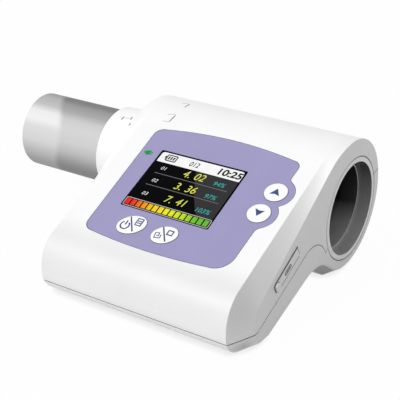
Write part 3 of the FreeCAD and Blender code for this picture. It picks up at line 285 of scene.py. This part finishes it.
def add_grain(tree, shader, scale, strength, depth, stretch=(1, 1, 1), edge=0.0):
    """Fine moulded grain as bump, over edges that are eased by a small radius."""
    noise = add_noise(tree, scale, 4.0, stretch)
    bump = tree.nodes.new("ShaderNodeBump")
    if edge:
        eased = tree.nodes.new("ShaderNodeBevel")
        eased.inputs["Radius"].default_value = edge
        tree.links.new(eased.outputs["Normal"], bump.inputs["Normal"])
    bump.inputs["Strength"].default_value = strength
    bump.inputs["Distance"].default_value = depth
    tree.links.new(noise, bump.inputs["Height"])
    tree.links.new(bump.outputs["Normal"], shader.inputs["Normal"])
    return noise


def finish(name, colour, roughness, variation=0.02, cloud=60.0, grain=2500.0, strength=0.15,
           depth=0.00002, metallic=0.0, coat=0.0, spread=0.05, stretch=(1, 1, 1), specular=0.5,
           moulded=False):
    """Plastic or metal with a cloudy colour, uneven gloss and fine grain; moulded adds eased edges and
    painted shade in narrow gaps.
    """
    material, tree, shader = new_material(name)
    tree.links.new(clouded(tree, colour, variation, cloud), shader.inputs["Base Color"])
    noise = add_grain(tree, shader, grain, strength, depth, stretch, EDGE * MM * moulded)
    gloss = remap(tree, noise, 0.0, 1.0, max(0.02, roughness - spread), min(1.0, roughness + spread))
    tree.links.new(gloss, shader.inputs["Roughness"])
    shader.inputs["Metallic"].default_value = metallic
    shader.inputs["Coat Weight"].default_value = coat
    shader.inputs["Coat Roughness"].default_value = 0.12
    shader.inputs["Specular IOR Level"].default_value = specular
    # Painted shade in seams, gaps and tight corners
    if moulded:
        paint_crevice_shade(tree, shader, CREVICE_SHADE_REACH * MM)
    return material


def airway_distance(tree):
    """Distance of each point from the airway's axis, in metres."""
    shift = vector_step(tree, "SUBTRACT", own_place(tree), (0, AXIS_Y, AXIS_Z))
    flat = vector_step(tree, "MULTIPLY", shift.outputs["Vector"], (0, 1, 1))
    return vector_step(tree, "LENGTH", flat.outputs["Vector"]).outputs["Value"]


def paint_bore_shade(material, low, high, dark_from, radius, soft=0.00005):
    """Line a tube with painted shade nearer its axis than radius: grey low at the bottom, high above
    dark_from.
    """
    tree = material.node_tree
    shader = tree.nodes["Principled BSDF"]
    outer = shader.inputs["Base Color"].links[0].from_socket
    step = remap(tree, airway_distance(tree), radius - soft, radius + soft)
    height = parts_of(tree, own_place(tree))["Z"]
    rise = remap(tree, height, AXIS_Z - radius, AXIS_Z + radius * dark_from)
    greys = mixed(tree, rise, grey(low), grey(high))
    clouds = add_ramp(tree, add_noise(tree, 90.0), [(0.3, grey(0.92)), (0.7, grey(1.0))])
    bore_shade = mixed(tree, 1.0, greys, clouds, "MULTIPLY")
    tree.links.new(mixed(tree, step, bore_shade, outer), shader.inputs["Base Color"])


def paint_shade_by_place(material, places):
    """Grey a finish by place with painted shade: each place has the axes with their starts and ends, then
    its grey.
    """
    tree = material.node_tree
    place = parts_of(tree, own_place(tree))
    for *ranges, level in places:
        share = 1.0
        for axis, start, end in ranges:
            inside = remap(tree, place[axis], start * MM, end * MM, soft=True)
            share = calculate(tree, "MULTIPLY", share, inside)
        tint(tree, tree.nodes["Principled BSDF"], mixed(tree, share, grey(1.0), grey(level)))


def shine(tree, shader, colour):
    """Let a dark smooth face shine in the colour of a socket."""
    tree.links.new(colour, shader.inputs["Emission Color"])
    shader.inputs["Emission Strength"].default_value = 1.0
    shader.inputs["Base Color"].default_value = (*UNLIT, 1)
    shader.inputs["Roughness"].default_value = 0.15
    shader.inputs["Specular IOR Level"].default_value = SCREEN_GLOSS


def lit(name, colour):
    """Colour on the lit screen, with the faint unevenness of a back light."""
    material, tree, shader = new_material(name)
    shine(tree, shader, clouded(tree, colour, 0.04, 250.0))
    return material


def mouthpiece_with_painted_light():
    """Satin silver-grey tube with painted shade along its top and bottom and a painted reflection at its
    paler end.
    """
    material, tree, shader = new_material("mouthpiece_grey")
    shift = vector_step(tree, "SUBTRACT", own_place(tree), (mouth_low.x, AXIS_Y, AXIS_Z))
    lean = (0, SHEEN_LEAN, math.sqrt(1 - SHEEN_LEAN ** 2))
    across = vector_step(tree, "DOT_PRODUCT", shift.outputs["Vector"], lean).outputs["Value"]
    height = remap(tree, across, -MOUTHPIECE_R * MM, MOUTHPIECE_R * MM)

    def painted_bands(stops):
        return add_ramp(tree, height, [(place, grey(level)) for place, level in stops])

    # Painted shade along the top and bottom and painted reflection across the middle, in bands
    body = painted_bands([(0.0, 0.16), (0.05, 0.22), (0.12, 0.31), (0.25, 0.50), (0.38, 0.59), (0.50, 0.58),
                  (0.60, 0.57), (0.68, 0.54), (0.78, 0.36), (0.88, 0.28), (0.95, 0.13), (1.0, 0.09)])
    end = painted_bands([(0.0, 0.30), (0.12, 0.48), (0.30, 0.66), (0.48, 0.66), (0.58, 0.78), (0.70, 0.77),
                 (0.80, 0.50), (0.92, 0.42), (1.0, 0.22)])

    # The painted reflection at the end stops at a soft edge that curves back towards the top and the bottom
    slope = calculate(tree, "MULTIPLY_ADD", across, PALE_SLOPE / MOUTHPIECE_R,
                      parts_of(tree, shift.outputs["Vector"])["X"])
    bulge = calculate(tree, "MULTIPLY_ADD", calculate(tree, "POWER", across, 2.0),
                      PALE_BULGE / (MOUTHPIECE_R ** 2 * MM), slope)
    along = remap(tree, bulge, PALE_START * MM, PALE_END * MM, soft=True)
    tree.links.new(mixed(tree, along, end, body), shader.inputs["Base Color"])
    add_grain(tree, shader, 1800.0, 0.12, 0.00002, (1, 6, 6))
    shader.inputs["Roughness"].default_value = 0.42
    shader.inputs["Specular IOR Level"].default_value = 0.3
    return material


finishes = {
    "case_white": finish("case_white", WHITE, 0.38, 0.012, moulded=True),
    "liner_grey": finish("liner_grey", (0.86, 0.86, 0.87), 0.25, 0.02, specular=1.0),
    "overlay_lilac": finish("overlay_lilac", (0.305, 0.285, 0.505), 0.45, 0.025, 80.0, 5000.0, 0.2),
    "window": finish("window", BLACK, 0.10, 0.2, 200.0, 1200.0, 0.02, spread=0.03,
                     specular=SCREEN_GLOSS),
    "display": finish("display", (0.01, 0.012, 0.014), 0.12, 0.1, 200.0, spread=0.03),
    "frame_white": finish("frame_white", (0.72, 0.72, 0.70), 0.5),
    "lamp_green": finish("lamp_green", (0.30, 0.28, 0.47), 0.3, 0.05, coat=0.3),
    "chip_black": finish("chip_black", (0.02, 0.02, 0.02), 0.55, 0.15, 400.0, 6000.0, 0.3),
    "board_green": finish("board_green", (0.015, 0.13, 0.05), 0.4, 0.12, 700.0, coat=0.3),
    "battery_foil": finish("battery_foil", (0.60, 0.61, 0.63), 0.42, 0.05, 120.0, 900.0, 0.4,
                           0.0001, metallic=0.85),
    "socket_steel": finish("socket_steel", (0.55, 0.55, 0.56), 0.25, 0.05, metallic=1.0,
                           stretch=(1, 8, 8)),
    "screw_steel": finish("screw_steel", (0.42, 0.42, 0.43), 0.33, 0.08, 500.0, metallic=1.0),
    "ribbon": finish("ribbon", (0.50, 0.20, 0.03), 0.35, 0.1, 300.0),
    "turbine_white": finish("turbine_white", WHITE, 0.35, 0.012, moulded=True),
    "seal_rubber": finish("seal_rubber", (0.03, 0.03, 0.03), 0.7, 0.15, 300.0),
    "vane_clear": finish("vane_clear", (0.55, 0.56, 0.58), 0.3, 0.03),
    "vane_dark": finish("vane_dark", (0.03, 0.03, 0.035), 0.5, 0.1),
    "jewel": finish("jewel", (0.35, 0.02, 0.05), 0.1, 0.1, 900.0, coat=0.5),
    "mouthpiece_grey": mouthpiece_with_painted_light(),
    "key_white": finish("key_white", (0.93, 0.93, 0.94), 0.38, 0.012, moulded=True),
}
# Painted shade on the case at the nose, under it and in the arch under the tube
paint_shade_by_place(finishes["case_white"], CASE_PAINTED_SHADE)
# Painted shade inside the liner's mouth and the turbine tube, darker towards the top
paint_bore_shade(finishes["liner_grey"], 0.50, 0.03, 0.8, (LINER_MOUTH_R + 0.05) * MM)
paint_bore_shade(finishes["turbine_white"], 0.40, 0.001, -0.3, TURBINE_RIM_R * MM)

for entry in frame["record"]["subparts"]:
    holder = nodes[entry["node"]]
    holder.data.materials.clear()
    holder.data.materials.append(finishes[entry["material_slot"]])


# Flat pieces on the panel

def fill_curve(name, loops, lift, material, body, matrix=PANEL_MATRIX):
    """Thin filled piece from closed loops of (x, v) in MM; inner loops are holes."""
    data = bpy.data.curves.new(name, "CURVE")
    data.dimensions = "2D"
    data.fill_mode = "BOTH"
    data.extrude = DECAL / 2 * MM
    for loop in loops:
        spline = data.splines.new("POLY")
        spline.points.add(len(loop) - 1)
        for point, (x, v) in zip(spline.points, loop):
            point.co = (x * MM, v * MM, 0, 1)
        spline.use_cyclic_u = True
    data.materials.append(material)
    piece = bpy.data.objects.new(name, data)
    bpy.context.scene.collection.objects.link(piece)
    piece.matrix_world = matrix @ Matrix.Translation((0, 0, (lift + DECAL_LIFT) * MM))
    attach(piece, body)
    return piece


def rectangle(x0, x1, v0, v1):
    """Closed outline of a rectangle."""
    return [(x0, v0), (x1, v0), (x1, v1), (x0, v1)]


def rounded(x0, x1, v0, v1, radius, steps=5):
    """Rectangle with round corners; radius is one value or (low left, low right, top right, top left)."""
    radii = radius if isinstance(radius, tuple) else (radius,) * 4
    corners = ((x0, v0, 1, 1, 180), (x1, v0, -1, 1, 270), (x1, v1, -1, -1, 0), (x0, v1, 1, -1, 90))
    points = []
    for (x, v, sx, sv, start), r in zip(corners, radii):
        if r == 0:
            points.append((x, v))
            continue
        for i in range(steps + 1):
            angle = math.radians(start + 90 * i / steps)
            points.append((x + sx * r + r * math.cos(angle), v + sv * r + r * math.sin(angle)))
    return points


def stroke(points, width):
    """Closed outline of an open line of the given width, with square ends."""
    left = []
    right = []
    for i, (x, v) in enumerate(points):
        before = points[max(i - 1, 0)]
        after = points[min(i + 1, len(points) - 1)]
        run = Vector((after[0] - before[0], after[1] - before[1])).normalized()
        left.append((x - run.y * width / 2, v + run.x * width / 2))
        right.append((x + run.y * width / 2, v - run.x * width / 2))
    return left + right[::-1]


def ring_arc(cx, cv, radius, start, end, steps=20):
    """Points along part of a circle, from one angle in degrees to another."""
    return [(cx + radius * math.cos(math.radians(start + (end - start) * i / steps)),
             cv + radius * math.sin(math.radians(start + (end - start) * i / steps)))
            for i in range(steps + 1)]


def turned(points, cx, cv, degrees=0):
    """Points turned about their origin and moved to (cx, cv)."""
    angle = math.radians(degrees)
    return [(cx + x * math.cos(angle) - v * math.sin(angle),
             cv + x * math.sin(angle) + v * math.cos(angle)) for x, v in points]


def number(name, text, x, v, height, material, lift, slant=0.22, wide=1.0, bold=0.0):
    """Plain digits whose lower left corner is at (x, v)."""
    data = bpy.data.curves.new(name, "FONT")
    data.body = text
    data.size = height / 0.70 * MM
    data.shear = slant
    data.extrude = DECAL / 2 * MM
    data.offset = bold * MM
    data.materials.append(material)
    piece = bpy.data.objects.new(name, data)
    bpy.context.scene.collection.objects.link(piece)
    stretch = Matrix.Diagonal((wide, 1, 1, 1))
    place = Matrix.Translation((x * MM, v * MM, (lift + DECAL_LIFT) * MM))
    piece.matrix_world = PANEL_MATRIX @ place @ stretch
    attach(piece, "case")
    return piece


# Screen picture

def make_screen():
    """Status bar, three rows of numbers and a coloured scale, in thin layers on the lens."""
    lift = lift_of("screen_window")
    white = lit("screen_white", (0.93, 0.93, 0.93))
    grey = lit("screen_grey", (0.16, 0.16, 0.17))
    sheen = lit("screen_sheen", (0.031, 0.031, 0.034))
    dark = lit("screen_ink", (0.012, 0.012, 0.014))
    line = lit("screen_line", (0.50, 0.51, 0.50))
    yellow = lit("screen_yellow", YELLOW)
    teal = lit("screen_teal", TEAL)

    def add(name, loops, material, layer=0):
        fill_curve("screen_" + name, loops, lift + layer * LAYER, material, "case")

    # Painted reflection: a faintly glowing patch of glare over the right of the lens
    add("sheen", [[(0.0, 8.2), (16.9, 8.2), (16.9, -9.6), (10.6, -9.6), (8.8, -7.3), (5.6, -2.5),
                   (2.3, 3.4)]], sheen)
    add("status_bar", [rounded(-16.7, 16.9, 8.4, 13.1, (0, 0, 1.0, 1.0))], white)
    add("battery_case", [rounded(-14.1, -9.7, 9.4, 12.5, 0.5), rounded(-13.65, -10.15, 9.85, 12.05, 0.2)],
        dark, 1)
    add("battery_cells", [turned(rectangle(-0.3, 0.3, -0.75, 0.75), -12.95 + 1.02 * i, 10.95, -8)
                          for i in range(3)], dark, 1)
    add("battery_tip", [rectangle(-14.6, -14.15, 10.3, 11.6)], dark, 1)
    for v, name in ((3.15, "upper_rule"), (-2.6, "lower_rule")):
        add(name, [rectangle(-14.2, 15.2, v - 0.12, v + 0.12)], grey, 1)
    add("scale_frame", [rounded(-17.1, 17.2, -13.5, -9.7, 0.7), rounded(-16.85, 16.95, -13.25, -9.95, 0.5)],
        line)
    bars, tree, shader = new_material("screen_scale")
    start, end = SCALE_COLOURS
    place = remap(tree, parts_of(tree, own_place(tree))["X"], start * MM, end * MM)
    ramp = add_ramp(tree, place,
                    [(0.02, (0.84, 0.01, 0.015)), (0.10, (0.80, 0.04, 0.015)),
                     (0.20, (0.86, 0.22, 0.01)), (0.34, (0.90, 0.62, 0.01)),
                     (0.52, (0.84, 0.84, 0.02)), (0.70, (0.50, 0.72, 0.02)),
                     (0.82, (0.16, 0.52, 0.03)), (1.0, (0.13, 0.48, 0.04))])
    shine(tree, shader, ramp)
    starts = [SCALE_LEFT + SCALE_PITCH * i for i in range(SCALE_BARS)]
    add("scale_bars", [rectangle(x, x + SCALE_BAR, -12.9, -10.3) for x in starts], bars, 1)

    top = lift + LAYER
    number("screen_count", "012", -4.3, 9.75, 2.2, dark, top, 0.15, 0.85, 0.03)
    number("screen_clock", "10:25", 6.9, 9.45, 2.8, dark, top, 0.10, 1.12, 0.13)
    rows = ((4.5, "01", ("4.", "02"), "94%"), (-1.5, "02", ("3.", "36"), "97%"),
            (-7.9, "03", ("7.", "41"), "103%"))
    for row, (v, label, (whole, rest), share) in enumerate(rows, 1):
        tag = "screen_row%d_" % row
        number(tag + "label", label, -13.2, v + 0.6, 1.5, white, top, 0.2, 1.1, -0.02)
        number(tag + "whole", whole, -3.9, v, 3.1, yellow, top, 0.22, 0.95)
        number(tag + "rest", rest, 0.6, v, 3.1, yellow, top, 0.22, 0.95)
        number(tag + "share", share, 8.6, v - 0.2, 1.9, teal, top, 0.22, 1.0)


# Key signs

def make_key_signs():
    """Simple signs on the four keys, each riding on its key."""
    blue = finish("sign_blue", ICON_BLUE, 0.4, 0.06, 300.0)

    def add(name, loops, key):
        fill_curve(name, loops, lift_of(key), blue, key)

    add("sign_up", [[(29.3, 7.0), (31.1, 7.45), (32.9, 7.0), (31.1, 9.9)]], "key_up")
    add("sign_down", [[(28.2, -0.3), (30.0, -3.2), (31.7, -0.4), (30.0, -0.8)]], "key_down")
    add("sign_power_divider", [stroke([(-10.35, -17.55), (-6.35, -23.15)], 0.45)], "key_power_menu")
    add("sign_power", [stroke(ring_arc(-10.4, -21.5, 1.6, 125, 415), 0.46),
                       stroke([(-10.4, -19.4), (-10.4, -21.3)], 0.46)], "key_power_menu")
    menu = [rectangle(-1.25, 1.25, -1.6, 1.6), rectangle(-0.95, 0.85, -1.25, 1.25)]
    add("sign_menu", [turned(loop, -6.15, -18.8) for loop in menu], "key_power_menu")
    add("sign_menu_lines", [turned(rectangle(-0.93, 0.83, v - 0.17, v + 0.17), -6.15, -18.8)
                            for v in (-0.42, 0.42)], "key_power_menu")
    add("sign_confirm_divider", [stroke([(3.0, -17.8), (6.7, -23.1)], 0.45)], "key_confirm_back")
    hook = stroke([(1.05, 0.3), (1.05, -1.05), (-1.05, -1.05), (-1.05, 1.05), (0.35, 1.05),
                   (0.35, -0.15), (-0.35, -0.15)], 0.38)
    add("sign_confirm", [turned(hook, 3.0, -21.6, 12)], "key_confirm_back")
    square = [rectangle(-1.15, 1.15, -1.1, 1.1), rectangle(-0.75, 0.75, -0.7, 0.7)]
    add("sign_back", [turned(loop, 6.6, -19.35) for loop in square], "key_confirm_back")


def make_lamp_sign():
    """Green plug sign over the charge lamp."""
    green = lit("sign_green", (0.008, 0.34, 0.05))
    lift = max(lift_of("charge_lamp"), lift_of("front_overlay"))
    plug = [(-1.9, 0.0), (-1.1, 0.75), (-0.2, 0.95), (0.15, 1.2), (0.45, 0.75), (1.75, 0.75),
            (1.75, 0.3), (0.8, 0.25), (0.8, -0.25), (1.75, -0.3), (1.75, -0.75), (0.4, -0.75),
            (0.1, -1.15), (-0.8, -0.85)]
    piece = fill_curve("sign_charge", [turned(plug, -22.0, 11.0)], lift, green, "case")


def make_port_sign():
    """Plain port outline on the flap, which lies on the right end face, and a line of painted shade along
    the flap's lower gap.
    """
    low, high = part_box("usb_cover")
    lean = PANEL_TILT + FLAP_TURN
    along = Vector((0, math.cos(lean), math.sin(lean)))
    across = Vector((0, -math.sin(lean), math.cos(lean)))
    middle = (low + high) / 2
    middle.x = high.x - FLAP_LIP_PROUD * MM
    matrix = Matrix(((0, 0, 1, middle.x), (along.y, across.y, 0, middle.y),
                     (along.z, across.z, 0, middle.z), (0, 0, 0, 1)))
    ink_and_shade = finish("sign_port_ink_and_shade", MARK_GREY, 0.5, 0.1, 500.0)
    outline = [rounded(-2.2, 2.2, -0.75, 0.75, 0.7), rounded(-1.85, 1.85, -0.4, 0.4, 0.38)]
    # The edge stroke is painted shade along the flap's lower gap; the outline and tongue are print
    for name, loops in (("outline", outline), ("tongue", [rectangle(-1.3, 1.3, -0.14, 0.14)]),
                        ("edge", [stroke([(-5.5, -1.72), (6.2, -1.72), (6.9, -1.6)], 0.16)])):
        piece = fill_curve("sign_port_" + name, loops, 0, ink_and_shade, "usb_cover", matrix)


# Marks on the tube and the collar, laid on the surface by rays towards the airway's axis

def draped_line(name, node, body, points, width, material):
    """Thin raised line over a node through points of x in metres and angle about the airway."""
    tree = BVHTree.FromPolygons([v.co for v in nodes[node].data.vertices],
                                [p.vertices for p in nodes[node].data.polygons])
    verts = []
    hits = []
    for x, angle in points:
        a = math.radians(angle)
        out = Vector((0, math.cos(a), math.sin(a)))
        start = Vector((x, AXIS_Y, AXIS_Z)) + out * 60 * MM
        hits.append((tree.ray_cast(start, -out)[0], out))
    for i, (hit, out) in enumerate(hits):
        run = (hits[min(i + 1, len(hits) - 1)][0] - hits[max(i - 1, 0)][0]).normalized()
        side = run.cross(out).normalized() * width / 2 * MM
        up = out * DECAL_LIFT * MM
        verts += [hit + side + up, hit - side + up]
    faces = [(2 * i, 2 * i + 1, 2 * i + 3, 2 * i + 2) for i in range(len(hits) - 1)]
    mesh = bpy.data.meshes.new(name)
    mesh.from_pydata(verts, [], faces)
    mesh.materials.append(material)
    piece = bpy.data.objects.new(name, mesh)
    bpy.context.scene.collection.objects.link(piece)
    thick = piece.modifiers.new("thickness", "SOLIDIFY")
    thick.thickness = DECAL * MM
    thick.offset = 0
    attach(piece, body)
    return piece


def fine_line(corners, steps=6):
    """Points of x in metres and angle; the corners have x in MM from the screen's middle."""
    line = []
    for (x0, a0), (x1, a1) in zip(corners[:-1], corners[1:]):
        line += [(x0 + (x1 - x0) * i / steps, a0 + (a1 - a0) * i / steps) for i in range(steps)]
    return [(SCREEN.x + x * MM, angle) for x, angle in line + [corners[-1]]]


def make_marks():
    """Short alignment marks on the body's tube and on the turbine's collar; the tube's are raised hooks
    drawn in grey lines of painted shade.
    """
    ink_and_shade = finish("mark_grey", MARK_GREY, 0.5, 0.1, 500.0)
    faint = finish("mark_faint", (0.45, 0.45, 0.46), 0.5, 0.05, 500.0)
    body_lines = (
        # On the tube the dark side strokes and faint top lines are painted shade of raised hooks
        ("rear_side", [(-22.9, 93.5), (-23.1, 100.5)], 0.32, ink_and_shade),
        ("rear_top", [(-25.9, 94.8), (-24.9, 93.3), (-23.3, 93.0)], 0.18, faint),
        ("front_side", [(-23.0, 114.0), (-23.3, 122.0)], 0.32, ink_and_shade),
        ("front_top", [(-26.0, 115.5), (-25.2, 113.6), (-23.4, 113.2)], 0.18, faint),
        ("front_foot", [(-26.0, 122.6), (-23.6, 122.4)], 0.15, faint))
    collar_lines = (
        ("left", [(-51.2, 107.0), (-51.3, 113.0)], 0.35, ink_and_shade),
        ("right", [(-47.9, 103.5), (-47.7, 109.3)], 0.35, ink_and_shade),
        ("lower", [(-46.4, 115.5), (-46.4, 119.4)], 0.35, ink_and_shade),
        ("link", [(-50.8, 109.0), (-48.4, 107.0)], 0.15, faint))
    for group, node, body, lines in (("body", "upper_case", "case", body_lines),
                                     ("collar", "turbine_tube", "turbine", collar_lines)):
        for name, corners, width, material in lines:
            piece = draped_line("mark_%s_%s" % (group, name), node, body, fine_line(corners), width,
                                material)


# Studio

def make_camera():
    """Camera at the photograph's place, in front of the nose and to the right."""
    data = bpy.data.cameras.new("camera")
    data.sensor_width = 36
    data.lens = CAMERA_LENS
    camera = bpy.data.objects.new("camera", data)
    camera.location = (SCREEN.x + CAMERA_FROM_SCREEN_X * MM, nose_y + CAMERA_FROM_NOSE_Y * MM,
                       CAMERA_HEIGHT * MM)
    camera.rotation_euler = (math.radians(90 - CAMERA_DOWN), 0, math.radians(CAMERA_TURN))
    bpy.context.scene.collection.objects.link(camera)
    bpy.context.scene.camera = camera


def seen_rays(tree):
    """Socket that is 1 for the camera's rays and for rays in reflections and clear pieces."""
    kinds = tree.nodes.new("ShaderNodeLightPath").outputs
    direct = calculate(tree, "MAXIMUM", kinds["Is Camera Ray"], kinds["Is Glossy Ray"])
    return calculate(tree, "MAXIMUM", direct, kinds["Is Transmission Ray"])


def make_floor():
    """White floor just under the object."""
    mesh = bpy.data.meshes.new("floor")
    mesh.from_pydata([(-FLOOR, -FLOOR, 0), (FLOOR, -FLOOR, 0), (FLOOR, FLOOR, 0), (-FLOOR, FLOOR, 0)],
                     [], [(0, 1, 2, 3)])
    floor = bpy.data.objects.new("floor", mesh)
    bpy.context.scene.collection.objects.link(floor)
    floor.location.z = -0.00002
    material, tree, shader = new_material("floor_white")
    shader.inputs["Base Color"].default_value = (*grey(FLOOR_GREY), 1)
    shader.inputs["Roughness"].default_value = 0.9
    shader.inputs["Specular IOR Level"].default_value = 0.0

    # What the camera and reflections see is white, with a painted soft shadow of the object where they meet
    contact = tree.nodes.new("ShaderNodeAmbientOcclusion")
    contact.inputs["Distance"].default_value = CONTACT_REACH * MM
    ramp = add_ramp(tree, contact.outputs["AO"], [(0.0, grey(CONTACT_GREY)), (CONTACT_END, grey(1.0))])
    glow = tree.nodes.new("ShaderNodeEmission")
    glow.inputs["Strength"].default_value = 1.0
    tree.links.new(ramp, glow.inputs["Color"])
    mix = tree.nodes.new("ShaderNodeMixShader")
    tree.links.new(calculate(tree, "MULTIPLY", seen_rays(tree), FLOOR_SEEN), mix.inputs["Fac"])
    tree.links.new(shader.outputs["BSDF"], mix.inputs[1])
    tree.links.new(glow.outputs["Emission"], mix.inputs[2])
    tree.links.new(mix.outputs["Shader"], tree.nodes["Material Output"].inputs["Surface"])
    mesh.materials.append(material)


def make_lights():
    """Soft room that is brighter to the left and the front, and a wide weak key light."""
    world = bpy.data.worlds.new("studio")
    world.use_nodes = True
    tree = world.node_tree
    background = tree.nodes["Background"]
    background.inputs["Color"].default_value = (1, 1, 1, 1)
    direction = tree.nodes.new("ShaderNodeTexCoord").outputs["Generated"]
    lean = vector_step(tree, "DOT_PRODUCT", direction, ROOM_LEAN).outputs["Value"]
    room = calculate(tree, "MAXIMUM", calculate(tree, "ADD", lean, ROOM_LEVEL), ROOM_LEAST)
    strength = remap(tree, seen_rays(tree), 0.0, 1.0, low=room)
    tree.links.new(strength, background.inputs["Strength"])
    bpy.context.scene.world = world

    sun = bpy.data.lights.new("soft_key", "SUN")
    sun.energy = KEY_ENERGY
    sun.angle = math.radians(KEY_ANGLE)
    lamp = bpy.data.objects.new("soft_key", sun)
    lamp.rotation_euler = Vector(KEY_DIRECTION).to_track_quat("-Z", "Y").to_euler()
    bpy.context.scene.collection.objects.link(lamp)


make_camera()
make_screen()
make_key_signs()
make_lamp_sign()
make_port_sign()
make_marks()
make_floor()
make_lights()

bpy.context.scene.view_settings.view_transform = "Standard"
